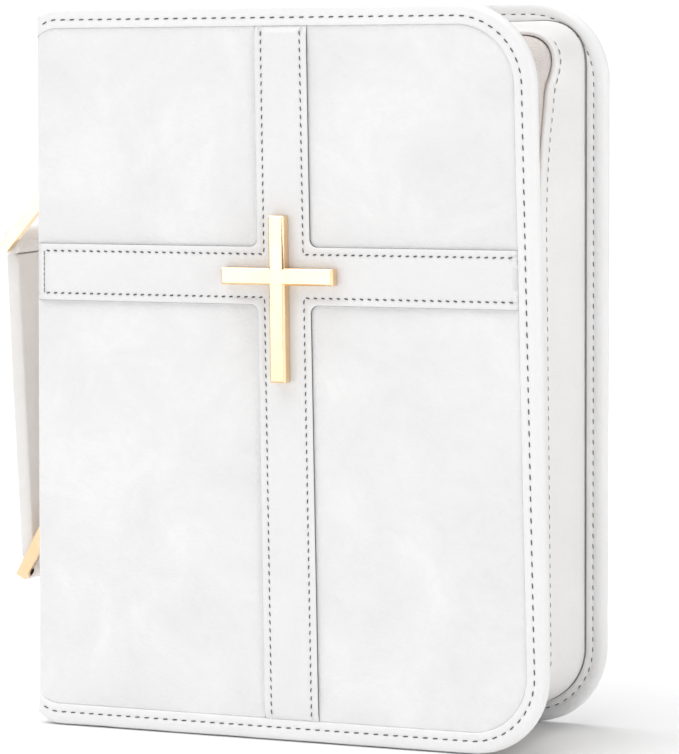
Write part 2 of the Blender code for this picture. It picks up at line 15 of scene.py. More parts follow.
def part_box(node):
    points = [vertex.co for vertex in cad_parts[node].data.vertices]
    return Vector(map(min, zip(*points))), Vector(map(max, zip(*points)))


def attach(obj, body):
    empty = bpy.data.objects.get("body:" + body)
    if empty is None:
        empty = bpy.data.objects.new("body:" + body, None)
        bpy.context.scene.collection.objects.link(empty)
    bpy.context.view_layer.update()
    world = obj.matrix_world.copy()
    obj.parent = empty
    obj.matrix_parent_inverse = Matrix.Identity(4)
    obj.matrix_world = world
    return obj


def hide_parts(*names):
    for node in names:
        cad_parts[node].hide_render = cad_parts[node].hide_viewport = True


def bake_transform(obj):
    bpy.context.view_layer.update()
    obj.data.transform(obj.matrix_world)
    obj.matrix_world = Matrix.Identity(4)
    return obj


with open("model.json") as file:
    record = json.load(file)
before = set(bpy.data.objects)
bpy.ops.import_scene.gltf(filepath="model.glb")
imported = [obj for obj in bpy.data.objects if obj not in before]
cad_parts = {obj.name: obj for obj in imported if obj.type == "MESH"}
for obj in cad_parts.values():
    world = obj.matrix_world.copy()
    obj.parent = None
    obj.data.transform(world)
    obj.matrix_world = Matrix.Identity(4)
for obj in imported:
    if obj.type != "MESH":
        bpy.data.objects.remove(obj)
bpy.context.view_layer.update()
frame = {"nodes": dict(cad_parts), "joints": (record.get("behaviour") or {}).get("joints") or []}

MM = 0.001
ORIGIN = np.array(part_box("front_edge_band")[0])
BODY = {"front": "front_cover", "back": "back_shell"}
scene = bpy.context.scene


def place(points):
    """Millimetres in the cover's space to metres in the frame."""
    return ORIGIN + np.asarray(points, float) * MM


def span(node):
    """Lowest and highest corner of a CAD node in the cover's space."""
    low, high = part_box(node)
    return (np.array(low) - ORIGIN) / MM, (np.array(high) - ORIGIN) / MM


def joint_xz(name):
    """A joint's x and z in the cover's space."""
    found = next(joint for joint in frame["joints"] if joint["name"] == name)
    return ((np.array(found["pos_m"]) - ORIGIN) / MM)[[0, 2]]


# ---- measures from the CAD model
WIDTH, FLANGE, HEIGHT = span("front_edge_band")[1]
DEPTH = span("back_edge_band")[1][1]
SINK = span("front_cover_skin")[0][1]
GUSSET_INSET = WIDTH - span("gusset_strip")[1][0]
HEM = span("gusset_strip")[0][1]
GUSSET_END = span("gusset_strip")[1][1]
TAPE_INSET = WIDTH - span("zip_tape_back")[1][0]
TAPE = 0.7
COIL_INSET = WIDTH - span("zip_teeth_back")[1][0]
COIL_DEPTH = 2.6
COIL_START = span("zip_teeth_back")[0][0]
COIL_RADIUS = 1.35
ZIP_LINE = (span("zip_teeth_front")[0][1] + span("zip_teeth_back")[1][1]) / 2
CROSS_X = 103.7
CROSS_Z = 171.5
CORNER = 30.0
BAND = 8.0
FOLD = 3.2
OVERLAY_HALF = 10.6
OVERLAY_STITCH = 7.9
BAND_STITCH, BAND_PITCH, BAND_DIP = 5.0, 3.9, 0.30
HEM_STITCH = 5.8
REACH, SHOULDER = WIDTH - CORNER, HEIGHT - CORNER  # where the rounded corners start

# The soft case: how far its ends are drawn in at the spine and over what run, how its covers widen
# downwards, and how near the spine they stay straight.
DRAWN_TOP, DRAWN_BOTTOM, DRAWN_RUN, DRAWN_REACH = 4.2, 4.8, 35.0, 9.0
FLARE_FRONT, FLARE_BACK, FLARE_SHIFT, FLARE_BOW = 6.99, 2.15, 0.54, 1.56
STILL_REACH = 10.0


def smooth_step(value):
    value = np.clip(value, 0.0, 1.0)
    return value * value * (3 - 2 * value)


def ripple(points, scale, seed=0.0):
    """Perlin noise at points, whose features are about `scale` millimetres."""
    return np.array([noise.noise(Vector((x / scale + seed, y / scale, z / scale))) for x, y, z in points])


def soften(points):
    """The soft case's own shape: drawn in at both ends of the spine, with covers that widen downwards."""
    points = np.array(points, float)
    x, y, z = points.T.copy()
    near_spine = np.clip((DRAWN_REACH - x) / DRAWN_REACH, 0, 1) ** 2
    points[:, 2] -= DRAWN_TOP * near_spine * smooth_step((z - HEIGHT + DRAWN_RUN) / DRAWN_RUN)
    points[:, 2] += DRAWN_BOTTOM * near_spine * smooth_step((DRAWN_RUN - z) / DRAWN_RUN)
    low, front, across = 0.5 - z / HEIGHT, np.clip(1 - y / DEPTH, 0, 1), 2 * x / WIDTH - 1
    flare = (FLARE_FRONT * front - FLARE_BACK) * across - FLARE_SHIFT + FLARE_BOW * front * (1 - across ** 2)
    still = np.clip(1 - x / STILL_REACH, 0, 1) * smooth_step((y - 2) / 7)
    points[:, 0] += flare * low * (1 - still)
    return points


# ---- making pieces
def add(name, data):
    """An object in the scene."""
    thing = bpy.data.objects.new(name, data)
    scene.collection.objects.link(thing)
    return thing


def joined(*values):
    """Columns side by side. A single number fills its column."""
    return np.column_stack(np.broadcast_arrays(*values))


def unit(vectors):
    return vectors / np.linalg.norm(vectors, axis=1)[:, None]


def make(name, verts, faces, material, body=None, nodes=(), slot=None, along=None, soft=True, angle=None):
    """A mesh piece from millimetre points. It stands for CAD nodes and rides on a body."""
    verts = soften(verts) if soft else np.asarray(verts, float)
    mesh = bpy.data.meshes.new(name)
    mesh.from_pydata(place(verts).tolist(), [], faces)
    builder = bmesh.new()
    builder.from_mesh(mesh)
    bmesh.ops.recalc_face_normals(builder, faces=builder.faces)
    builder.to_mesh(mesh)
    builder.free()
    mesh.materials.append(material)
    mesh.shade_smooth()
    if angle is not None:
        mesh.set_sharp_from_angle(angle=radians(angle))
    if along is not None:
        track = mesh.attributes.new("along", "FLOAT_VECTOR", "POINT")
        track.data.foreach_set("vector", (np.asarray(along, np.float32) * MM).ravel())
    piece = add(name, mesh)
    if nodes:
        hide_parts(*nodes)
    if body:
        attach(piece, body)
    return piece


def grid_faces(rows, columns, start=0, close_columns=False):
    """Quads between neighbours of a grid of points stored row by row."""
    faces = []
    for row in range(rows - 1):
        for column in range(columns if close_columns else columns - 1):
            following = (column + 1) % columns
            a, b = start + row * columns, start + (row + 1) * columns
            faces.append((a + column, a + following, b + following, b + column))
    return faces


def tube(rings):
    """Faces of a closed bar from rings of points, with a cap at each end."""
    rows, columns = rings.shape[:2]
    faces = grid_faces(rows, columns, close_columns=True)
    faces.append(tuple(range(columns)))
    faces.append(tuple(range((rows - 1) * columns, rows * columns)))
    return rings.reshape(-1, 3), faces


def rail(first, spacing, turns=18):
    """Points along a cover's outer edge, from the spine over the top, fore-edge and bottom.

    Each row is x, z, the inward normal's x and z, and the length so far."""
    close = [step for step in (0.35, 0.9, 1.6, 2.4, 3.3, 4.6, 6.3, 8.5) if step + first < 12]
    steps = [first] + [first + step for step in close]
    top = [*steps, *np.linspace(steps[-1], REACH, int((REACH - steps[-1]) / spacing) + 1)[1:]]
    rows = [(x, HEIGHT, 0.0, -1.0) for x in top]

    def turn_corner(centre_z, start):
        for step in range(1, turns + 1):
            turn = start - pi / 2 * step / turns
            rows.append((REACH + CORNER * cos(turn), centre_z + CORNER * sin(turn), -cos(turn), -sin(turn)))

    turn_corner(SHOULDER, pi / 2)
    fore_edge = np.linspace(SHOULDER, CORNER, int((HEIGHT - 2 * CORNER) / spacing) + 1)[1:]
    rows += [(WIDTH, z, -1.0, 0.0) for z in fore_edge]
    turn_corner(CORNER, 0.0)
    rows += [(x, 0.0, 0.0, 1.0) for x in top[::-1][1:]]
    rows = np.array(rows)
    return np.column_stack([rows, np.cumsum([0.0, *np.hypot(*np.diff(rows[:, :2], axis=0).T)])])


def sweep(track, section):
    """Rings of points: section(row) gives (inset, y) pairs at each point of the track."""
    rings = []
    for row in track:
        inset, y = np.asarray(section(row), float).T
        rings.append(joined(row[0] + row[2] * inset, y, row[1] + row[3] * inset))
    return np.array(rings)


def tracked(track, profile_length):
    """The along attribute of a sweep: length along the rail and across the section."""
    across = np.tile(profile_length, len(track))
    return joined(np.repeat(track[:, 4], len(profile_length)), across, 0.0)


def fold_depth(x):
    """How far the cover's face has curved back at x, where it turns into the spine."""
    return FOLD - FOLD * sqrt(1 - min(max((FOLD - x) / FOLD, 0), 1) ** 2)


# ---- materials
class Finish:
    """A Principled material and short calls for the nodes behind it."""

    def __init__(self, name, **values):
        self.material = bpy.data.materials.new(name)
        self.material.use_nodes = True
        self.tree = self.material.node_tree
        self.shader = self.tree.nodes["Principled BSDF"]
        self.fill(self.shader, {"Coat_Roughness": 0.25, **values})
        self.where = self.tree.nodes.new("ShaderNodeTexCoord").outputs["Object"]

    def fill(self, made, values):
        """Sets a node's inputs to values or to other nodes' outputs."""
        for key, value in values.items():
            entry = made.inputs[int(key[1:]) if key[0] == "_" else key.replace("_", " ")]
            if isinstance(value, bpy.types.NodeSocket):
                self.tree.links.new(value, entry)
            else:
                entry.default_value = value
        return made

    def node(self, kind, output=0, settings=None, **values):
        """One output of a new node."""
        made = self.tree.nodes.new("ShaderNode" + kind)
        for key, value in (settings or {}).items():
            setattr(made, key, value)
        return self.fill(made, values).outputs[output]

    def math(self, operation, a, b=0.0):
        return self.node("Math", 0, {"operation": operation}, _0=a, _1=b)

    def noise(self, scale, detail=4.0, roughness=0.55, distortion=0.0, where=None, kind="FBM"):
        return self.node("TexNoise", "Fac", {"noise_type": kind}, Vector=where or self.where,
                         Scale=scale, Detail=detail, Roughness=roughness, Distortion=distortion)

    def wave(self, direction, scale, distortion):
        return self.node("TexWave", "Fac", {"bands_direction": direction}, Vector=self.where,
                         Scale=scale, Distortion=distortion)

    def stretch(self, scale):
        """Coordinates scaled apart on each axis."""
        return self.node("Mapping", Vector=self.where, Scale=scale)

    def ramp(self, factor, stops):
        colour = self.node("ValToRGB", "Color", Fac=factor)
        band = colour.node.color_ramp.elements
        for entry, (position, value) in zip(band, (stops[0], stops[-1])):
            entry.position, entry.color = position, (*value, 1)
        for position, value in stops[1:-1]:
            band.new(position).color = (*value, 1)
        return colour

    def mix(self, factor, a, b):
        a, b = (end if isinstance(end, bpy.types.NodeSocket) else (*end, 1) for end in (a, b))
        return self.node("Mix", 2, {"data_type": "RGBA"}, _0=factor, _6=a, _7=b)

    def span(self, value, low, high, start=0.0, end=1.0):
        return self.node("MapRange", Value=value, From_Min=start, From_Max=end, To_Min=low, To_Max=high)

    def bump(self, height, strength, distance, after=None):
        extra = {"Normal": after} if after else {}
        return self.node("Bump", "Normal", Height=height, Strength=strength, Distance=distance, **extra)

    def finish(self, colour, roughness=None, normal=None):
        values = {"Base_Color": colour, "Roughness": roughness, "Normal": normal}
        self.fill(self.shader, {key: value for key, value in values.items() if value})
        return self.material


def along(look, index):
    """The along attribute: 0 is the length along a swept piece, 1 the length across it."""
    vector = look.node("Attribute", "Vector", {"attribute_name": "along"})
    return look.node("SeparateXYZ", index, Vector=vector)


def leather(name, light, dark, tint, mottle=16.0, grain=950.0, depth=0.00022, rough=(0.42, 0.56),
            crease=0.35):
    """Soft coated leather: cloudy tone, pebble grain and fine pull-up creases."""
    look = Finish(name, Coat_Weight=0.08, Sheen_Weight=0.05)
    clouds = look.noise(mottle, 5.0, 0.62, 0.6)
    patches = look.noise(mottle * 4.5, 4.0, 0.6, 1.2)
    between = [(a + b) / 2 for a, b in zip(light, dark)]
    colour = look.ramp(clouds, [(0.34, dark), (0.5, between), (0.63, light)])
    colour = look.mix(look.span(patches, 0.0, 0.75, 0.42, 0.72), colour, tint)
    veins = look.noise(mottle * 2.2, 7.0, 0.6, 1.6, kind="RIDGED_MULTIFRACTAL")
    lines = look.span(veins, 0.0, 1.0, 0.62, 0.9)
    colour = look.mix(look.math("MULTIPLY", lines, 0.35 * crease), colour, [0.86 * c for c in dark])
    pebble = look.node("TexVoronoi", "Distance", Vector=look.where, Scale=grain)
    fine = look.noise(grain * 2.4, 3.0, 0.6)
    normal = look.bump(look.noise(mottle * 7, 4.0, 0.6), 0.35, 0.0009)
    normal = look.bump(lines, crease, depth * 1.6, normal)
    normal = look.bump(pebble, 0.5, depth, normal)
    normal = look.bump(fine, 0.25, depth * 0.5, normal)
    return look.finish(colour, look.span(clouds, *rough, 0.3, 0.7), normal)


def polished(name, colour, deep, rough=(0.10, 0.22)):
    """Plated metal with faint polishing marks and a slightly worn tone."""
    look = Finish(name, Metallic=1.0)
    worn = look.noise(90.0, 4.0, 0.6)
    marks = look.noise(1.0, 3.0, 0.55, where=look.stretch((900.0, 900.0, 60.0)))
    shade = look.ramp(worn, [(0.3, deep), (0.7, colour)])
    normal = look.bump(marks, 0.05, 0.0001)
    normal = look.bump(look.noise(140.0, 2.0, 0.5), 0.08, 0.0004, normal)
    return look.finish(shade, look.span(look.noise(60.0, 5.0, 0.7), *rough, 0.3, 0.7), normal)


def thread(name, colour, pale):
    """Twisted sewing thread."""
    look = Finish(name, Roughness=0.75, Sheen_Weight=0.2)
    twist = look.wave("DIAGONAL", 900.0, 1.0)
    shade = look.mix(look.noise(400.0, 3.0), colour, pale)
    return look.finish(shade, None, look.bump(twist, 0.5, 0.0001))


def herringbone(name, light, dark):
    """Woven zip tape: chevrons that follow the tape."""
    look = Finish(name, Roughness=0.85, Sheen_Weight=0.3)
    zigzag = look.math("MULTIPLY", look.math("PINGPONG", along(look, 1), 0.0011), 1.2)
    phase = look.math("MULTIPLY", look.math("ADD", along(look, 0), zigzag), 6400.0)
    height = look.span(look.math("SINE", phase), 0.0, 1.0, -1.0, 1.0)
    shade = look.mix(height, dark, light)
    shade = look.mix(look.span(look.noise(300.0, 4.0), 0.0, 0.3, 0.3, 0.7), shade, dark)
    normal = look.bump(look.noise(2500.0), 0.3, 0.0001, look.bump(height, 0.9, 0.00022))
    return look.finish(shade, look.span(height, 0.75, 0.92), normal)


def cloth(name, light, dark, pitch=433.3):
    """Plain woven lining."""
    look = Finish(name, Roughness=0.9, Sheen_Weight=0.25)
    weave = look.math("MULTIPLY", look.wave("X", pitch, 0.6), look.wave("Z", pitch, 0.6))
    shade = look.mix(look.span(weave, 0.2, 1.0), dark, light)
    shade = look.mix(look.span(look.noise(22.0, 5.0), 0.0, 0.35, 0.35, 0.7), shade, dark)
    return look.finish(shade, None, look.bump(weave, 0.5, 0.0002))


def page_edges(name):
    """Thousands of thin pages: fine lines across the block's thickness, and a plain page's face."""
    look = Finish(name, Roughness=0.85)
    thin = look.noise(1.0, 3.0, 0.6, where=look.stretch((18.0, 5200.0, 18.0)))
    broad = look.noise(1.0, 4.0, 0.6, where=look.stretch((6.0, 520.0, 6.0)))
    lines = look.math("ADD", look.math("MULTIPLY", thin, 0.65), look.math("MULTIPLY", broad, 0.35))
    shade = look.ramp(lines, [(0.32, (0.62, 0.56, 0.44)), (0.5, (0.86, 0.81, 0.69)),
                              (0.66, (0.93, 0.90, 0.81))])
    facing = look.node("SeparateXYZ", 1, Vector=look.where.node.outputs["Normal"])
    page = look.span(look.math("ABSOLUTE", facing), 0.0, 1.0, 0.7, 0.95)
    height = look.math("MULTIPLY", lines, look.math("SUBTRACT", 1.0, page))
    return look.finish(look.mix(page, shade, (0.90, 0.87, 0.79)), None, look.bump(height, 0.7, 0.0003))


def coil_plastic(name, light, dark):
    look = Finish(name, Roughness=0.35, Specular_IOR_Level=0.6)
    tone = look.noise(500.0, 3.0)
    normal = look.bump(look.noise(3000.0), 0.2, 0.0001)
    return look.finish(look.mix(tone, dark, light), look.span(tone, 0.28, 0.45), normal)


def board_fibre(name, light, dark):
    look = Finish(name, Roughness=0.9)
    fibre = look.noise(1.0, 5.0, 0.7, where=look.stretch((900.0, 900.0, 260.0)))
    normal = look.bump(fibre, 0.4, 0.0002)
    return look.finish(look.mix(fibre, dark, light), look.span(fibre, 0.82, 0.96), normal)


COVER = leather("white_marbled_leather", (0.905, 0.902, 0.902), (0.822, 0.818, 0.819), (0.865, 0.858, 0.860),
                mottle=26.0, crease=0.6)
FINE_GRAIN = {"mottle": 22.0, "grain": 1300.0, "depth": 0.00012, "rough": (0.36, 0.48), "crease": 0.12}
SMOOTH = leather("white_binding_leather", (0.915, 0.912, 0.912), (0.876, 0.873, 0.873), (0.895, 0.890, 0.892),
                 **FINE_GRAIN)
CROSS = leather("white_cross_leather", (0.878, 0.875, 0.875), (0.838, 0.835, 0.835), (0.856, 0.852, 0.854),
                **FINE_GRAIN)
GUSSET = leather("gusset_leather", (0.895, 0.885, 0.872), (0.850, 0.838, 0.822), (0.872, 0.858, 0.848),
                 mottle=14.0, grain=1100.0, depth=0.00018, crease=0.45)
HANDLE = leather("handle_leather", (0.885, 0.868, 0.850), (0.835, 0.812, 0.790), (0.862, 0.838, 0.818),
                 mottle=24.0, grain=1200.0, depth=0.00018, crease=0.2)
HANDLE_LINING = leather("handle_lining", (0.950, 0.905, 0.865), (0.900, 0.845, 0.795), (0.925, 0.875, 0.830),
                        mottle=24.0, grain=1300.0, depth=0.00016, crease=0.15)
BOOK = leather("bible_cover_leather", (0.150, 0.070, 0.042), (0.085, 0.036, 0.022), (0.120, 0.052, 0.030),
               mottle=20.0, grain=800.0, depth=0.00035, rough=(0.38, 0.55))
GOLD = polished("champagne_gold", (0.93, 0.69, 0.44), (0.88, 0.63, 0.38))
STEEL = polished("plain_steel", (0.62, 0.60, 0.57), (0.50, 0.48, 0.46), rough=(0.25, 0.40))
# Dark grey for the leather cross's side walls: painted shade standing in for the shadow line along the
# cross's edges.
EDGE_SHADE = board_fibre("grey_edge_paint", (0.20, 0.19, 0.19), (0.12, 0.115, 0.115))
# Dark colour for the cord in the crease behind the side wall: painted shade standing in for the shadow in
# that crease.
CREASE_SHADE = thread("gusset_seam_thread", (0.16, 0.14, 0.13), (0.26, 0.23, 0.22))
THREAD = thread("dark_grey_thread", (0.045, 0.045, 0.050), (0.12, 0.12, 0.13))
SOFT_THREAD = thread("grey_thread", (0.16, 0.155, 0.155), (0.30, 0.295, 0.30))
BOOK_THREAD = thread("cream_thread", (0.62, 0.52, 0.33), (0.78, 0.70, 0.52))
TAPE_WEAVE = herringbone("zip_tape_weave", (0.92, 0.87, 0.84), (0.69, 0.61, 0.57))
COIL = coil_plastic("zip_coil_nylon", (0.80, 0.72, 0.68), (0.62, 0.52, 0.49))
LINING = cloth("lining_cloth", (0.72, 0.69, 0.64), (0.60, 0.57, 0.52))
PAGES = page_edges("bible_pages")
BOARD = board_fibre("grey_board", (0.42, 0.36, 0.29), (0.30, 0.25, 0.20))
CORE = board_fibre("handle_core_board", (0.60, 0.58, 0.55), (0.48, 0.46, 0.44))


# ---- stitches
TEMPLATE = ((-1.0, 0.30), (-0.86, 0.80), (-0.45, 1.0), (0.45, 1.0), (0.86, 0.80), (1.0, 0.30))
SIDES = 6
FORWARDS, BACKWARDS, FROM_SPINE = (0, -1, 0), (0, 1, 0), (-1, 0, 0)


def stitch_run(points, outward, pitch, length, thick, slant=5.0):
    """Stitches along a line of points, each a short swell of thread that dives at both ends."""
    points = soften(points)
    outward = np.broadcast_to(np.asarray(outward, float), points.shape)
    total = np.cumsum([0.0, *np.linalg.norm(np.diff(points, axis=0), axis=1)])
    count = max(1, int(round(total[-1] / pitch)))
    middles = (np.arange(count) + 0.5) * total[-1] / count

    def at(distance, values):
        return joined(*(np.interp(distance, total, column) for column in values.T))

    tangent = unit(at(middles + length / 2, points) - at(middles - length / 2, points))
    up = unit(at(middles, outward))
    side = np.cross(up, tangent)
    c, s = cos(radians(slant)), sin(radians(slant))
    tangent, side = tangent * c + side * s, side * c - tangent * s
    local = []
    for position, girth in TEMPLATE:
        lift, radius = thick * (0.34 - 0.62 * position ** 4), thick / 2 * girth
        for turn in np.arange(SIDES) / SIDES * 2 * pi:
            local.append((position * length / 2, radius * cos(turn), lift + radius * 0.85 * sin(turn)))
    local = np.array(local)
    centre = at(middles, points)
    verts = (centre[:, None, :] + local[None, :, 0:1] * tangent[:, None, :]
             + local[None, :, 1:2] * side[:, None, :] + local[None, :, 2:3] * up[:, None, :])
    return verts.reshape(-1, 3), count


def stitches(name, body, runs, material=THREAD):
    """All of a body's stitches as one piece."""
    one = tube(np.zeros((len(TEMPLATE), SIDES, 3)))[1]
    verts, faces, start = [], [], 0
    for points, count in runs:
        verts.append(points)
        for _ in range(count):
            faces += [tuple(start + index for index in face) for face in one]
            start += len(TEMPLATE) * SIDES
    make(name, np.concatenate(verts), faces, material, body, soft=False)


# ---- outer leather
PANEL_PUFF, PUFF_RUN, CROSS_RUN = 0.62, 2.6, 2.4
OVERLAY_BED = 0.2
OVERLAY_BASE = 0.3
SPINE_REST = 0.12
LEATHER = 0.9
SPINE_RUN = DEPTH - 2 * SINK - 2 * FOLD
FOLD_RUN = FOLD * pi / 2


def wrap(s, z, height):
    """The outer leather's surface. s is x on the front face, runs below FOLD round the spine,
    and height is how far a point stands off the surface."""
    s, z, height = np.broadcast_arrays(s, z, height)
    past = FOLD - s
    first = np.clip(past / FOLD, 0, pi / 2)
    spine = np.clip(past - FOLD_RUN, 0, SPINE_RUN)
    second = np.clip((past - FOLD_RUN - SPINE_RUN) / FOLD, 0, pi / 2)
    back = np.clip(past - 2 * FOLD_RUN - SPINE_RUN, 0, None)
    turn = first + second
    nx, ny = -np.sin(turn), -np.cos(turn)
    x = np.where(past <= 0, s, FOLD) - FOLD * np.sin(first) + FOLD * (1 - np.cos(second)) + back
    y = SINK + FOLD * (1 - np.cos(first)) + spine + FOLD * np.sin(second)
    return np.stack([x + nx * height, y + ny * height, z], axis=-1)


def round_corner(x, z, inset):
    """Pulls a square grid's fore corners onto the cover's rounded corners."""
    radius = CORNER - inset
    a = np.clip((x - REACH) / radius, 0, 1)
    above = np.clip((z - SHOULDER) / radius, 0, 1)
    below = np.clip((CORNER - z) / radius, 0, 1)
    b = above + below
    big, small = np.maximum(a, b), np.minimum(a, b)
    turn = np.where(big > 0, small / np.maximum(big, 1e-9), 0) * pi / 4
    far, near = big * np.cos(turn), big * np.sin(turn)
    new_a, new_b = np.where(a >= b, far, near), np.where(a >= b, near, far)
    inside = (a > 0) & (b > 0)
    x = np.where(inside, REACH + new_a * radius, x)
    z = np.where(inside & (above > 0), SHOULDER + new_b * radius, z)
    z = np.where(inside & (below > 0), CORNER - new_b * radius, z)
    return x, z


def edge_distance(x, z, inset):
    """Distance from the edge of the field inside the binding."""
    dz = np.maximum(z - SHOULDER, 0) + np.maximum(CORNER - z, 0)
    corner = CORNER - inset - np.hypot(np.maximum(x - REACH, 0), dz)
    return np.minimum(np.minimum(corner, WIDTH - inset - x), np.minimum(z - inset, HEIGHT - inset - z))


def puff(x, z):
    """How far a padded panel has risen, from 0 at its binding to 1."""
    return 1 - np.exp(-np.maximum(edge_distance(x, z, BAND), 0) / PUFF_RUN)


def front_height(x, z):
    """How far the padded front leather stands off its board."""
    edge = puff(x, z)
    outside = np.minimum(np.abs(x - CROSS_X), np.abs(z - CROSS_Z)) - OVERLAY_HALF
    beside = 1 - np.exp(-np.maximum(outside, 0) / CROSS_RUN)
    field = OVERLAY_BED * edge + (PANEL_PUFF * edge * beside - OVERLAY_BED * edge) * beside
    return np.where(outside <= 0, OVERLAY_BED, field)


def outer_leather():
    """Front panel, spine and back panel: one skin that folds round the spine."""
    inset = BAND + 0.04
    side, top = WIDTH - inset, HEIGHT - inset
    rim = np.array([0.5, 1.1, 2.0])
    near_band = OVERLAY_HALF + np.array([-3.0, -1.0, 0.0, 0.6, 1.3, 2.2, 3.4, 5.0, 7.0])
    face = np.concatenate([np.linspace(FOLD, REACH, 70), np.linspace(REACH, side, 13),
                           CROSS_X + near_band, CROSS_X - near_band, side - rim])
    face = np.unique(np.round(face, 3))[::-1]
    fold_end = FOLD - FOLD_RUN
    round_spine = np.concatenate([np.linspace(FOLD, fold_end, 8)[1:],
                                  fold_end - np.linspace(0, SPINE_RUN, 26)[1:],
                                  fold_end - SPINE_RUN - np.linspace(0, FOLD_RUN, 8)[1:]])
    last = round_spine[-1]
    back = last - np.round(np.linspace(0, side - FOLD, 84), 3)[1:]
    s_line = np.concatenate([face, round_spine, back])
    z_line = np.concatenate([np.linspace(inset, CORNER, 13), np.linspace(CORNER, SHOULDER, 88),
                             np.linspace(SHOULDER, top, 13), CROSS_Z + near_band, CROSS_Z - near_band,
                             inset + rim, top - rim])
    z_line = np.unique(np.round(z_line, 3))
    s, z = np.meshgrid(s_line, z_line, indexing="ij")
    on_front, on_back = s >= FOLD, s < last - 1e-6
    x = np.where(on_front, s, np.where(on_back, FOLD + last - s, 0.0))
    new_x, new_z = round_corner(x, z, inset)
    flat = on_front | on_back
    z = np.where(flat, new_z, z)
    s = np.where(on_front, new_x, np.where(on_back, last - (new_x - FOLD), s))
    panel = np.where(on_front, front_height(new_x, z), PANEL_PUFF * puff(new_x, z))
    blend_in = smooth_step((np.where(flat, new_x, 0.0) - FOLD) / 6)
    height = np.where(flat, SPINE_REST + (panel - SPINE_REST) * blend_in, SPINE_REST)
    surface = wrap(s, z, 0.0).reshape(-1, 3)
    unrest = (0.10 * ripple(surface, 26.0) + 0.045 * ripple(surface, 9.0, 40.0)).reshape(s.shape)
    calm = np.where(flat, np.clip(edge_distance(new_x, z, BAND) / 6, 0, 1), 0.15)
    outer = wrap(s, z, height + unrest * calm).reshape(-1, 3)
    inner = wrap(s, z, -LEATHER).reshape(-1, 3)
    rows, columns = s.shape
    total = rows * columns
    faces = grid_faces(rows, columns) + grid_faces(rows, columns, total)
    index = np.arange(total).reshape(rows, columns)
    border = np.concatenate([index[:, 0], index[-1, 1:], index[-2::-1, -1], index[0, -2:0:-1]]).tolist()
    faces += [(a, b, b + total, a + total) for a, b in zip(border, border[1:] + border[:1])]
    return make("outer_leather", np.concatenate([outer, inner]), faces, COVER,
                nodes=("front_cover_skin", "spine_panel", "back_cover_skin"), slot="cover_leather")


# ---- bindings
# Inset from the cover's edge and y, from the panel over the stitch groove to the bead.
BINDING = [(8.0, 0.74), (7.96, 0.36), (7.78, 0.14), (7.3, 0.02), (6.4, -0.06), (5.75, 0.02), (5.3, 0.2),
           (5.0, 0.28), (4.7, 0.2), (4.25, 0.02), (3.4, -0.16), (2.6, -0.14), (1.8, 0.06), (1.1, 0.42),
           (0.55, 0.98), (0.16, 1.75)]


def binding_profile(depth):
    """The leather rolled round a cover's edge: its faces, the stitch groove and the bead."""
    return np.array([*BINDING, (0.0, depth / 2), *((u, depth - v) for u, v in reversed(BINDING))])


def on_roll(profile):
    """1 at the binding's edge, falling to 0 before the stitch groove."""
    return np.clip((4.6 - profile[:, 0]) / 3.0, 0, 1)


def binding(side):
    """A cover's binding, with the flap that turns in over the lining."""
    reach = 10.6 if side == "back" else 12.4
    flap = [(7.3, 5.45), (8.2, 5.60), (9.0, 5.60), (9.0, 5.43), (8.1, 5.41), (8.02, 4.9)]
    profile = np.concatenate([binding_profile(FLANGE)[:-4], flap])
    face = on_roll(profile)

    def section(row):
        point = Vector((row[0], 0.0, row[1]))
        wave = noise.noise(point / 17) * 0.16 + noise.noise(point / 6) * 0.05
        shape = profile.copy()
        shape[-4:-2, 0] += (reach - 9.0) * min(max((row[0] - 5) / 2, 0), 1)
        shape[:, 1] += (shape[:, 1] - FLANGE / 2) * 0.2 * wave * face
        shape[:, 0] -= wave * face
        shape[:, 1] = np.maximum(shape[:, 1], min(fold_depth(row[0]), FLANGE - 0.6))
        if side == "back":
            shape[:, 1] = DEPTH - shape[:, 1]
        return shape

    make(f"{side}_binding", *tube(sweep(rail(0.0, 2.6), section)), SMOOTH, BODY[side],
         (f"{side}_edge_band",), "smooth_leather")


def spine_binding(end):
    """The binding carried over one end of the spine."""
    node = f"spine_band_{end}"
    profile = binding_profile(FLANGE)
    profile[:, 1] *= span(node)[1][0] / FLANGE
    rings = []
    for y in [FLANGE + 0.06, *np.linspace(FLANGE + 1, DEPTH - FLANGE - 1, 22), DEPTH - FLANGE - 0.06]:
        wave = 0.25 * noise.noise(Vector((y / 11, 3.0, 5.0)))
        z = profile[:, 0] + wave * on_roll(profile)
        rings.append(joined(profile[:, 1] - 0.05, y, HEIGHT - z if end == "top" else z))
    make(f"spine_binding_{end}", *tube(np.array(rings)), SMOOTH, "back_shell", (node,), "smooth_leather")


def rail_line(track, inset, y):
    """Points at one inset and depth along the rail."""
    return joined(track[:, 0] + track[:, 2] * inset, y, track[:, 1] + track[:, 3] * inset)


# ---- leather cross
# Distance from the centre lines, height and corner radius of each loop, from the edge inwards.
OVERLAY_RINGS = ((10.6, 0.06, 3.0), (10.62, 0.55, 3.0), (10.5, 0.84, 3.0), (10.2, 1.03, 2.8),
                 (9.7, 1.12, 2.6), (8.9, 1.10, 2.2), (8.35, 0.96, 1.7), (7.9, 0.84, 1.2),
                 (7.5, 0.96, 1.2), (6.9, 1.12, 1.0), (5.6, 1.20, 0.9), (3.6, 1.24, 0.7), (1.6, 1.25, 0.5))
ARM_COUNTS = (30, 34, 52, 40)  # points along the upper, fore, lower and spine arm
ARC_COUNT = 5
OVERLAY_LEFT = 1.4


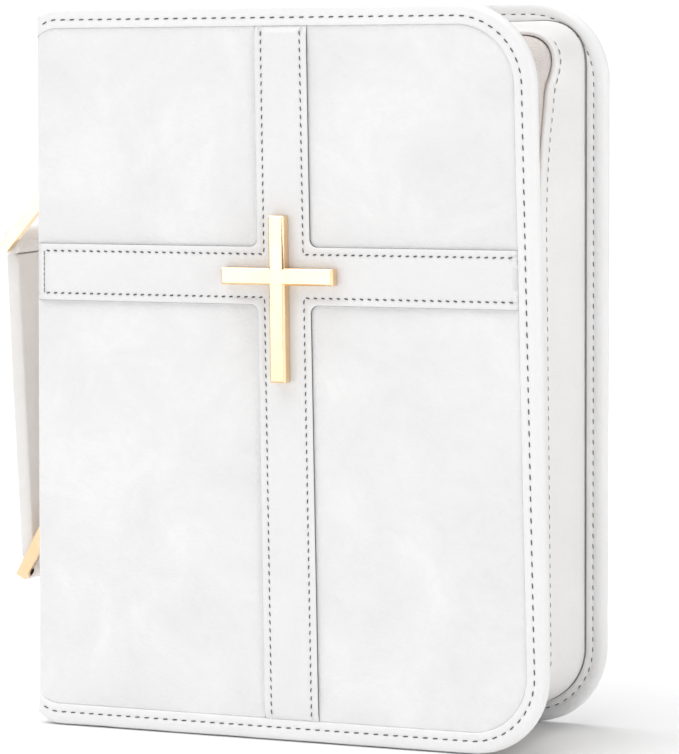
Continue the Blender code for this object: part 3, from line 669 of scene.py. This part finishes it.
def cross_loop(half, height, fillet):
    """One loop round the cross at a distance from its centre lines, raised off its underside."""
    top, bottom, right = HEIGHT - BAND - 0.05, BAND + 0.05, WIDTH - BAND - 0.05
    reach = half + fillet
    up, out, down, back = (np.linspace(start, end, count) for start, end, count in zip(
        (top, CROSS_X + reach, CROSS_Z - reach, CROSS_X - reach),
        (CROSS_Z + reach, right, bottom, OVERLAY_LEFT), ARM_COUNTS))

    def turn(sx, sz, start, end):
        angles = np.radians(np.linspace(start, end, ARC_COUNT + 2)[1:-1])
        return [(CROSS_X + sx * reach + fillet * cos(a), CROSS_Z + sz * reach + fillet * sin(a))
                for a in angles]

    def upright(side, zs):
        return [(CROSS_X + side * half, z) for z in zs]

    def level(side, xs):
        return [(x, CROSS_Z + side * half) for x in xs]

    x, z = np.array([*upright(1, up), *turn(1, 1, 180, 270), *level(1, out),
                     *level(-1, out[::-1]), *turn(1, -1, 90, 180), *upright(1, down),
                     *upright(-1, down[::-1]), *turn(-1, -1, 0, 90), *level(-1, back),
                     *level(1, back[::-1]), *turn(-1, 1, 270, 360), *upright(-1, up[::-1])]).T
    tuck = np.maximum(np.minimum(np.minimum(top - z, z - bottom), right - x), 0)
    end = 1 - 0.75 * np.exp(-np.maximum(x - OVERLAY_LEFT, 0) / 0.7)
    return wrap(x, z, OVERLAY_BASE + height * (1 - 0.93 * np.exp(-tuck / 1.5)) * end)


def cross_overlay():
    """The leather cross, whose side walls are coloured dark grey: painted shade for the shadow line along its
    edges.
    """
    rows = np.array([cross_loop(*ring) for ring in ((1.6, 0.0, 0.5), (7.9, 0.0, 1.2), *OVERLAY_RINGS)])
    total = rows.shape[1]
    faces = grid_faces(len(rows), total, close_columns=True)
    n_up, n_out, n_down, n_back = ARM_COUNTS
    a, tr, b, c, br, d, e, bl, f, g, tl, h = np.cumsum(
        [0, n_up, ARC_COUNT, n_out, n_out, ARC_COUNT, n_down, n_down, ARC_COUNT, n_back, n_back,
         ARC_COUNT]).tolist()
    cap = [tuple(index for start, stop in ((tr, b), (br, d), (bl, f), (tl, h))
                 for index in range(start - 1, stop + 1))]
    for first, second, count in ((a, h, n_up), (b, c, n_out), (d, e, n_down), (f, g, n_back)):
        for one, other in zip(range(first, first + count - 1), range(second + count - 1, second, -1)):
            cap.append((one, one + 1, other - 1, other))
    faces += [face[::-1] for face in cap]
    faces += [tuple((len(rows) - 1) * total + index for index in face) for face in cap]
    verts = rows.reshape(-1, 3)
    verts[:, 1] -= 0.05 * ripple(verts, 12.0, 9.0)
    piece = make("cross_overlay", verts, faces, CROSS, "front_cover", ("cross_overlay_band",),
                 "smooth_leather")
    # The side walls get the dark grey: painted shade along the cross's edges.
    piece.data.materials.append(EDGE_SHADE)
    for index in range(2 * total, 4 * total):
        piece.data.polygons[index].material_index = 1


def overlay_point(x, z, height=0.88):
    """A point on the leather cross, by default in its stitch groove."""
    return wrap(x, z, OVERLAY_BASE + height)


def overlay_stitches():
    """Four L-shaped lines beside the cross's edges, and the line across its end at the spine."""
    top, bottom, right, left = HEIGHT - BAND - 1.2, BAND + 1.2, WIDTH - BAND - 1.0, 4.4
    runs = []
    for sx, x_end in ((1, right), (-1, left)):
        for sz, z_end in ((1, top), (-1, bottom)):
            x, z = CROSS_X + sx * OVERLAY_STITCH, CROSS_Z + sz * OVERLAY_STITCH
            upright = overlay_point(x, np.linspace(z_end, z, 60))
            level = overlay_point(np.linspace(x, x_end, 60), z)
            runs.append(stitch_run(upright, FORWARDS, 3.0, 1.75, 0.44, 9.0 * sx * sz))
            runs.append(stitch_run(level, FORWARDS, 3.0, 1.55, 0.52, 12.0 * sx * sz))
    across = overlay_point(left, np.linspace(CROSS_Z - OVERLAY_STITCH, CROSS_Z + OVERLAY_STITCH, 30), 1.22)
    return runs, stitch_run(across, FORWARDS, 2.0, 1.9, 0.34, 2.0)


# ---- gusset and zip
# How far back the hem lies at lengths along the rail, and the wall's waves between hem and back.
HEM_ALONG = (0.0, 172.0, 178.0, 184.0, 189.0, 196.0, 205.0, 215.0, 221.0, 227.0, 232.0, 238.0, 251.0, 264.0)
HEM_BACK = (0.0, 0.0, 1.2, 5.0, 7.0, 7.4, 7.6, 7.8, 7.0, 5.7, 4.3, 3.2, 1.0, 0.0)
WALL_HUMPS = ((0.28, 0.5), (0.42, 0.9), (0.56, 1.0), (0.7, 0.9), (0.84, 0.5))
WALL_SWELL = 2.7
# Length along the rail of the middle of each bulge at the fore corner, its half run and its height.
HEM_BULGE = (197.0, 23.0, 6.0)
BACK_BULGE = (191.0, 24.0, 3.4)


def hem_line(length):
    """Where the gusset's hem lies: it gapes at the upper fore corner, and shows the zip there."""
    near = [np.interp(length + shift, HEM_ALONG, HEM_BACK) for shift in (-2.0, 0.0, 2.0)]
    return HEM + sum(near) / 3


def swell(length, y):
    """How far the wall stands out: the hem at the upper fore corner, and the wall's back edge."""
    back = np.clip((np.asarray(y, float) - HEM - 6) / (GUSSET_END - HEM - 8), 0, 1)
    at_hem, at_back = (height * cos(min(abs(length - middle) / run, 1) * pi / 2) ** 2
                       for middle, run, height in (HEM_BULGE, BACK_BULGE))
    return WALL_SWELL * smooth_step(back) + at_hem * (1 - back) + at_back * back


def gusset_track(start=0.0, spacing=2.4):
    return rail(span("gusset_strip")[0][0] + start, spacing, 22)


def gusset():
    """The side wall, with its turned hem, stitched groove and the crease at the back cover."""
    track = gusset_track()
    u = GUSSET_INSET

    def section(row):
        hem = hem_line(row[4])
        room = GUSSET_END - hem
        point = Vector((row[0], 3.0, row[1]))
        wave = noise.noise(point / 31) * 0.5 + noise.noise(point / 9) * 0.18
        lift = 0.55 * (hem - HEM) / max(HEM_BACK)
        # The turned hem and its stitch groove, as inset and y from the hem's edge.
        front = [(1.60, 1.6), (1.50, 0.5), (1.05 - lift, 0.02), (0.45 - lift, 0.12), (0.1 - lift, 0.6),
                 (-0.05 - lift, 1.5), (-0.02 - lift * 0.7, 3.6), (0.12, 5.1), (0.36, HEM_STITCH), (0.12, 6.5),
                 (-0.02, 7.6)]
        shape = [(u + du, hem + y) for du, y in front]
        shape += [(u - 0.05 - wave * share, hem + room * at) for at, share in WALL_HUMPS]
        shape += [(u + du, GUSSET_END - y) for du, y in ((0.0, 1.6), (0.5, 0.35), (1.1, 0.05), (1.25, 1.2))]
        shape += [(u + 1.0 - wave * share, hem + room * at) for at, share in WALL_HUMPS[::-1]]
        shape = np.array(shape + [(u + 1.35, hem + 5.2)])
        shape[:, 0] -= swell(row[4], shape[:, 1])
        return shape

    rings = sweep(track, section)
    make("gusset", *tube(rings), GUSSET, "back_shell", ("gusset_strip",), "gusset_leather",
         tracked(track, rings[0][:, 1]))


def gusset_seam():
    """A thin dark cord in the crease between the side wall and the back cover: painted shade for the shadow
    in that crease.
    """
    ring = 0.24 * np.array([(cos(a), sin(a)) for a in np.arange(6) / 3 * pi])

    def section(row):
        return ring + (GUSSET_INSET - 0.02 - swell(row[4], GUSSET_END), GUSSET_END - 0.05)

    make("gusset_seam", *tube(sweep(gusset_track(), section)), CREASE_SHADE, "back_shell")


def tape(side):
    """One zip tape. The back one follows the gusset's hem where it gapes."""
    node, gapes = f"zip_tape_{side}", side == "back"
    (start, low, _), (_, high, _) = span(node)
    track = rail(start, 2.6, 20)
    inset = TAPE_INSET + 0.04

    def section(row):
        far = high + (hem_line(row[4]) - HEM if gapes else 0.0)
        ys = np.linspace(low, far, 9)
        sag = 0.12 * np.sin((ys - low) / (far - low) * pi)
        out = swell(row[4], ys) * smooth_step((ys - low) / 9) * 0.92 if gapes else 0.0 * ys
        return [*zip(inset - (sag + out), ys), (inset + TAPE - out[-1], far), (inset + TAPE, low)]

    across = [*np.linspace(low, high, 9), high, low]
    make(f"tape_{side}", *tube(sweep(track, section)), TAPE_WEAVE, BODY[side], (node,), "zip_tape",
         tracked(track, across), angle=50)


def coil_row(side):
    """A wound nylon coil along the zip, whose heads reach between those of the other row."""
    shift, phase = (COIL_RADIUS, pi) if side == "back" else (-COIL_RADIUS, 0.0)
    track = rail(COIL_START, 2.0, 24)
    pitch, per_turn, wire = 1.5, 12, 0.36
    count = int(track[-1, 4] / pitch * per_turn)
    steps = np.arange(count) * pitch / per_turn
    centre = joined(*(np.interp(steps, track[:, 4], track[:, axis]) for axis in range(4)))
    turn = np.arange(count) / per_turn * 2 * pi + phase
    inset = COIL_INSET + COIL_DEPTH / 2 + (COIL_DEPTH / 2 - wire) * np.sin(turn)
    path = rail_line(centre, inset, ZIP_LINE + shift + COIL_RADIUS * np.cos(turn))
    tangent = unit(np.gradient(path, axis=0))
    one = unit(np.cross(tangent, [0.0, 1.0, 0.0]))
    other = np.cross(one, tangent)
    rings = [path + wire * (cos(a) * one + sin(a) * other) for a in np.arange(5) / 5 * 2 * pi]
    make(f"coil_{side}", *tube(np.stack(rings, axis=1)), COIL, BODY[side], (f"zip_teeth_{side}",),
         "zip_coil")


def round_edges(thing, width):
    bevel = thing.modifiers.new("rounded_edges", "BEVEL")
    bevel.width = width * MM
    bevel.segments = 3
    bevel.limit_method = "ANGLE"
    bevel.angle_limit = radians(30)


def refine(node, material, width):
    """A CAD node that stays: its edges are rounded, and it gets its finish."""
    thing = frame["nodes"][node]
    thing.modifiers.new("weld", "WELD").merge_threshold = 0.00002
    round_edges(thing, width)
    if not thing.data.materials:
        thing.data.materials.append(material)
    for entry in thing.material_slots:
        entry.material = material


def follow(node, material, width, body, slot):
    """A flat CAD layer redrawn with the soft case's shape."""
    thing = frame["nodes"][node]
    points = np.array([thing.matrix_world @ vert.co for vert in thing.data.vertices])
    points, index = np.unique(np.round((points - ORIGIN) / MM, 3), axis=0, return_inverse=True)
    index = index.ravel().tolist()
    if not node.startswith("spine"):
        points[:, 0] = np.maximum(points[:, 0], FOLD)
    faces = [tuple(index[vert] for vert in face.vertices) for face in thing.data.polygons]
    piece = make(f"{node}_layer", points, faces, material, body, (node,), slot, angle=30)
    round_edges(piece, width)


# ---- handle
def boolean_cut(piece, cutters):
    """Cuts round holes and leaves the finished mesh."""
    for index, cutter in enumerate(cutters):
        step = piece.modifiers.new(f"hole_{index}", "BOOLEAN")
        step.operation, step.solver, step.object = "DIFFERENCE", "EXACT", cutter
    bpy.context.view_layer.update()
    graph = bpy.context.evaluated_depsgraph_get()
    old, piece.data = piece.data, bpy.data.meshes.new_from_object(piece.evaluated_get(graph))
    piece.modifiers.clear()
    bpy.data.meshes.remove(old)
    for cutter in cutters:
        bpy.data.objects.remove(cutter)


def round_hole(centre, radius, y_span):
    """A cylinder along y that cuts a hole."""
    angles = np.linspace(0, 2 * pi, 33)[:-1]
    rings = [joined(centre[0] + radius * np.cos(angles), y, centre[1] + radius * np.sin(angles))
             for y in (y_span[0] - 2, y_span[1] + 2)]
    return make("hole", *tube(np.array(rings)), BOARD, soft=False)


def even_loop(points, step):
    """A closed outline with points no further apart than step."""
    result = []
    for point, following in zip(points, points[1:] + points[:1]):
        count = max(1, int(dist(point, following) / step))
        for share in np.arange(count) / count:
            result.append([a + (b - a) * share for a, b in zip(point, following)])
    return np.array(result)


def offset_loop(loop, amount):
    """The outline moved inwards along its own normals."""
    ahead, behind = np.roll(loop, -1, axis=0), np.roll(loop, 1, axis=0)
    tangent = unit(ahead - behind)
    normal = joined(-tangent[:, 1], tangent[:, 0])
    area = np.sum(loop[:, 0] * ahead[:, 1] - ahead[:, 0] * loop[:, 1])
    return loop + normal * (amount if area > 0 else -amount)


def padded_prism(name, outline, y_span, rounding, crown, material, holes, body, node, slot, groove):
    """Leather round a side-view outline: rounded at both long edges, crowned and stitched between."""
    loop = even_loop(outline, 1.6)
    inwards = offset_loop(loop, 1.0) - loop
    low, high = y_span
    middle, half = (low + high) / 2, (high - low) / 2
    away = [rounding * share for share in (0.0, 0.25, 0.6, 1.0)]
    away = [half - distance for distance in away] + list(np.linspace(half - rounding, 0, 12)[1:-1])
    rings = []
    for y in [middle - d for d in away] + [middle] + [middle + d for d in away[::-1]]:
        distance = half - abs(y - middle)
        edge = rounding - sqrt(max(0.0, rounding ** 2 - (rounding - min(distance, rounding)) ** 2))
        from_groove = abs(distance - groove[0]) / GROOVE_HALF
        if from_groove < 1:
            edge += groove[1] * cos(from_groove * pi / 2)
        moved = edge - crown(loop, 1 - ((y - middle) / half) ** 2)
        x, z = (loop + inwards * moved[:, None]).T
        rings.append(joined(x, y, z))
    piece = make(name, *tube(np.array(rings)), material, body, (node,), slot, soft=False)
    boolean_cut(piece, [round_hole(centre, radius, y_span) for centre, radius in holes])
    piece.data.shade_smooth()
    piece.data.set_sharp_from_angle(angle=radians(48))
    return piece


def arc(centre, radius, start, end, steps):
    angles = np.radians(start + (end - start) * np.arange(steps + 1) / steps)
    return [(centre[0] + radius * cos(a), centre[1] + radius * sin(a)) for a in angles]


STRAP_LOW, STRAP_HIGH = span("handle_strap")
TOP_BAR = joint_xz("handle_turn")
STRAP_TOP_LOOP, TOP_LOOP_RISE = STRAP_HIGH[2] - TOP_BAR[1], 5.2
BOTTOM_LOOP, BOTTOM_HOLE, BAR_HOLE = 3.7, 2.6, 1.9
BOTTOM_RING = joint_xz("ring_bottom_turn")
RING_LENGTH, RING_DROOP = 23.4, radians(61.0)
BOTTOM_BAR = BOTTOM_RING - RING_LENGTH * np.array([cos(RING_DROOP), sin(RING_DROOP)])
STRAP_LENGTH = float(np.linalg.norm(BOTTOM_BAR - TOP_BAR))
STRAP_RUN = (BOTTOM_BAR - TOP_BAR) / STRAP_LENGTH
STRAP_HALF, STRAP_BOW = 2.7, 0.15
GROOVE_HALF = 1.3
TAB_THICKNESS, TAB_LOOP, TAB_SEAM = 2.2, 3.05, 2.4
# The strap's ends: how far from the bar, and the half thickness there. The seam is the dip.
STRAP_ENDS = ((2.0, 3.3), (4.25, 2.5), (4.6, 1.1), (4.95, 2.45), (7.0, 2.55), (9.5, 2.6), (12.0, 2.65),
              (15.0, 2.65))


def along_strap(down, out):
    """A point in the handle's side view, so far down from its upper bar and outwards."""
    return tuple(TOP_BAR + STRAP_RUN * down + np.array([STRAP_RUN[1], -STRAP_RUN[0]]) * out)


def handle():
    """The padded grip: leather folded round both bars and stitched at each end."""
    lean = degrees(atan2(BOTTOM_BAR[0] - TOP_BAR[0], TOP_BAR[1] - BOTTOM_BAR[1]))

    def long_side(sign, bow):
        points = [along_strap(down, sign * out) for down, out in STRAP_ENDS]
        points += [along_strap(down, sign * (STRAP_HALF + bow * sin(pi * (down - 15) / (STRAP_LENGTH - 30))))
                   for down in np.linspace(18, STRAP_LENGTH - 18, 30)]
        return points + [along_strap(STRAP_LENGTH - down, sign * out) for down, out in STRAP_ENDS[::-1]]

    outline = [along_strap(-TOP_LOOP_RISE * sin(turn), -STRAP_TOP_LOOP * cos(turn))
               for turn in np.linspace(0, pi, 17)]
    outline += long_side(1, STRAP_BOW) + arc(BOTTOM_BAR, BOTTOM_LOOP, 180 + lean, 360 + lean, 16)
    outline += long_side(-1, 0.0)[::-1]

    def crown(loop, share):
        down = (loop - TOP_BAR) @ STRAP_RUN
        middle = smooth_step((down - 11) / 10) * smooth_step((STRAP_LENGTH - 11 - down) / 10)
        return 0.5 * middle * share - 0.12 * middle

    piece = padded_prism("handle_grip", outline, (STRAP_LOW[1], STRAP_HIGH[1]), 0.9, crown, HANDLE,
                         [(TOP_BAR, BAR_HOLE), (BOTTOM_BAR, BOTTOM_HOLE)], "handle", "handle_strap",
                         "handle_leather", (2.6, 0.22))
    piece.data.materials.append(HANDLE_LINING)
    for face in piece.data.polygons:
        face.material_index = int(face.normal.x > 0.3 and abs(face.normal.y) < 0.6)


def hard_run(points, outward, *sizes):
    """Stitches on a piece that soften() leaves alone: it is undone first."""
    return stitch_run(points - (soften(points) - points), outward, *sizes)


def tab(end, upward):
    """A folded leather strap stitched to the spine, whose loop holds a ring's inner bar."""
    node = f"handle_tab_{end}"
    low, high = span(node)
    pivot = joint_xz("handle_lift" if end == "top" else "ring_bottom_turn")
    tip = high[2] if upward > 0 else low[2]
    near, far = high[0], high[0] - TAB_THICKNESS
    outline = [(near, tip), (far + 0.35, tip), (far, tip - upward * 0.5), (far, tip - upward * 6),
               (far, pivot[1] + upward * 9.5), (far - 0.25, pivot[1] + upward * 6.2),
               *arc(pivot, TAB_LOOP, upward * 70, upward * 340, 26),
               (near - 0.6, pivot[1] - upward * 0.2), (near, pivot[1] + upward * 1.5)]
    padded_prism(f"tab_{end}", outline, (low[1], high[1]), 0.7, lambda loop, share: np.zeros(len(loop)),
                 HANDLE, [(pivot, BAR_HOLE)], "back_shell", node, "handle_leather", (TAB_SEAM, 0.15))
    inner, outer = low[1] + TAB_SEAM, high[1] - TAB_SEAM
    first, last = pivot[1] + upward * 8.5, tip - upward * TAB_SEAM
    corners = [(inner, first), (inner, last), (outer, last), (outer, first), (inner, first)]
    share = np.linspace(0, 1, 20)
    runs = [hard_run(joined(far - 0.02, y0 + (y1 - y0) * share, z0 + (z1 - z0) * share), FROM_SPINE,
                     3.0, 1.9, 0.42) for (y0, z0), (y1, z1) in zip(corners, corners[1:])]
    stitches(f"tab_stitches_{end}", "back_shell", runs, SOFT_THREAD)


# ---- the Bible
def page_block():
    """The pages: rounded at the spine, slightly hollow at the fore-edge, with uneven leaves."""
    low, high = span("bible_page_block")
    half, middle = (high[1] - low[1]) / 2, (high[1] + low[1]) / 2
    ys = np.array([-half, *np.linspace(-half + 0.4, half - 0.4, 48), half])
    rings = []
    for z in [low[2], low[2] + 0.3, *np.linspace(low[2] + 3, high[2] - 3, 30), high[2] - 0.3, high[2]]:
        pinch = 0.15 if z in (low[2], high[2]) else 0.0
        leaf = np.array([noise.noise(Vector((0.0, y * 1.1, z / 60))) for y in ys])
        fore = high[0] - 1.6 * (1 - (ys / half) ** 2) + 0.22 * leaf - pinch
        spine = low[0] + 1.2 * (ys / half) ** 2 + pinch
        rings.append(np.concatenate([joined(fore, middle + ys, z), joined(spine, middle + ys, z)[::-1]]))
    make("bible_pages", *tube(np.array(rings)), PAGES, "back_shell", ("bible_page_block",), "pages",
         soft=False, angle=40)


# ---- the whole cover
outer = outer_leather()
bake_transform(outer)
for side in BODY:
    binding(side)
for end in ("top", "bottom"):
    spine_binding(end)
cross_overlay()
gusset()
gusset_seam()
for side in BODY:
    tape(side)
for side in BODY:
    coil_row(side)

track = rail(2.5, 2.0, 22)


def band_run(y, outward, length, thick):
    """Stitches along a cover's binding."""
    return stitch_run(rail_line(track, BAND_STITCH, y), outward, BAND_PITCH, length, thick)


cross_runs, end_run = overlay_stitches()
stitches("front_stitches", "front_cover", [
    band_run(BAND_DIP, FORWARDS, 2.2, 0.48), band_run(FLANGE - BAND_DIP, BACKWARDS, 2.2, 0.44), *cross_runs])
stitches("cross_end_stitches", "front_cover", [end_run], SOFT_THREAD)
stitches("back_stitches", "back_shell", [
    band_run(DEPTH - BAND_DIP, BACKWARDS, 2.2, 0.48),
    band_run(DEPTH - FLANGE + BAND_DIP, FORWARDS, 2.0, 0.36)])
hem_track = gusset_track(1, 2.0)
hem_y = np.array([hem_line(row[4]) + HEM_STITCH for row in hem_track])
hem_in = GUSSET_INSET + 0.36 - np.array([swell(row[4], y) for row, y in zip(hem_track, hem_y)])
hem_out = joined(-hem_track[:, 2], 0.0, -hem_track[:, 3])
hem_runs = [stitch_run(rail_line(hem_track, hem_in, hem_y), hem_out, 3.6, 2.1, 0.40)]
for z in (HEIGHT - BAND_STITCH, BAND_STITCH):
    across_spine = joined(0.12, np.linspace(8, DEPTH - 8, 30), z)
    hem_runs.append(stitch_run(across_spine, FROM_SPINE, BAND_PITCH, 2.2, 0.44))
stitches("hem_stitches", "back_shell", hem_runs, SOFT_THREAD)

tab("top", 1.0)
tab("bottom", -1.0)
handle()
page_block()

for material, slot, width, names in (
        (GOLD, "gold", 0.45, "cross_emblem"), (GOLD, "gold", 0.5, "handle_ring_top handle_ring_bottom"),
        (GOLD, "gold", 0.25, "zip_slider"),
        (GOLD, "gold", 0.3, "zip_pull zip_stop_front_top zip_stop_front_bottom "
                            "zip_stop_back_top zip_stop_back_bottom"),
        (STEEL, "plain_metal", 0.1, "emblem_washer_upper emblem_washer_lower"),
        (LINING, "lining", 0.3, "front_sleeve back_sleeve"), (CORE, "handle_core", 0.2, "handle_core"),
        (BOOK, "bible_cover", 0.7, "bible_front_cover bible_back_cover bible_spine"),
        (BOOK_THREAD, "headband", 0.6, "bible_headband_top bible_headband_bottom")):
    for node in names.split():
        refine(node, material, width)
for side, body in (*BODY.items(), ("spine", "back_shell")):
    follow(f"{side}_board", BOARD, 0.2, body, "board")
    follow(f"{side}_lining", LINING, 0.12, body, "lining")


# ---- floor, light and camera
FLOOR_HALF = 14.0
BACKDROP, WORLD_LIGHT = 1.1, 0.33
KEY_POWER, FILL_POWER, SUN_LIGHT = 2.2, 9.0, 2.65
CAMERA_PLACE = (682.1, -1244.4, 266.8)
YAW, PITCH, ROLL = (radians(angle) for angle in (24.117, -5.511, -0.70))


def floor():
    mesh = bpy.data.meshes.new("floor")
    corners = [(x * FLOOR_HALF, y * FLOOR_HALF, 0) for x, y in ((-1, -1), (1, -1), (1, 1), (-1, 1))]
    mesh.from_pydata(corners, [], [(0, 1, 2, 3)])
    look = Finish("pale_floor", Roughness=0.9, Specular_IOR_Level=0.1)
    look.finish(look.ramp(look.noise(3.0, 2.0), [(0.3, (0.93, 0.93, 0.93)), (0.7, (0.95, 0.95, 0.95))]))
    mesh.materials.append(look.material)
    thing = add("floor", mesh)
    thing.location.z = ORIGIN[2] - 0.0002


def light(name, kind, power, direction):
    """A lamp that shines along a direction."""
    lamp = bpy.data.lights.new(name, kind)
    lamp.energy = power
    thing = add(name, lamp)
    thing.rotation_euler = Vector(direction).to_track_quat("-Z", "Y").to_euler()
    return thing


def area_light(name, position, target, size, power):
    thing = light(name, "AREA", power, Vector(target) - Vector(position))
    thing.location = position
    thing.data.shape = "RECTANGLE"
    thing.data.size, thing.data.size_y = size


def studio():
    """A white backdrop, full strength for the camera only, with a key, a fill and a wide sun."""
    world = bpy.data.worlds.new("studio")
    world.use_nodes = True
    tree = world.node_tree
    backdrop = tree.nodes["Background"]
    backdrop.inputs["Color"].default_value = (1.0, 1.0, 1.0, 1)
    seen = tree.nodes.new("ShaderNodeMapRange")
    seen.inputs["To Min"].default_value, seen.inputs["To Max"].default_value = WORLD_LIGHT, BACKDROP
    tree.links.new(tree.nodes.new("ShaderNodeLightPath").outputs["Is Camera Ray"], seen.inputs["Value"])
    tree.links.new(seen.outputs[0], backdrop.inputs["Strength"])
    scene.world = world
    area_light("key", (-0.72, -1.36, 0.32), (0.0, 0.0, 0.30), (0.8, 0.62), KEY_POWER)
    area_light("side_fill", (1.9, -0.5, 0.7), (0, 0, 0.12), (0.9, 1.2), FILL_POWER)
    light("overhead", "SUN", SUN_LIGHT, (0.25, 0.12, -1.0)).data.angle = radians(70)


def camera():
    """The view from the right of the front cover, level with its top and tipped slightly down."""
    forward = Vector((-sin(YAW) * cos(PITCH), cos(YAW) * cos(PITCH), sin(PITCH)))
    right = Vector((cos(YAW), sin(YAW), 0.0))
    up = right.cross(forward)
    right, up = (right * cos(ROLL) + up * sin(ROLL), up * cos(ROLL) - right * sin(ROLL))
    data = bpy.data.cameras.new("camera")
    data.lens, data.sensor_width = 180.8, 36.0
    data.clip_start, data.clip_end = 0.05, 60.0
    thing = add("camera", data)
    turn = Matrix((right, up, -forward)).transposed().to_4x4()
    thing.matrix_world = Matrix.Translation(Vector(place(CAMERA_PLACE))) @ turn
    scene.camera = thing


floor()
studio()
camera()
scene.view_settings.view_transform = "Standard"
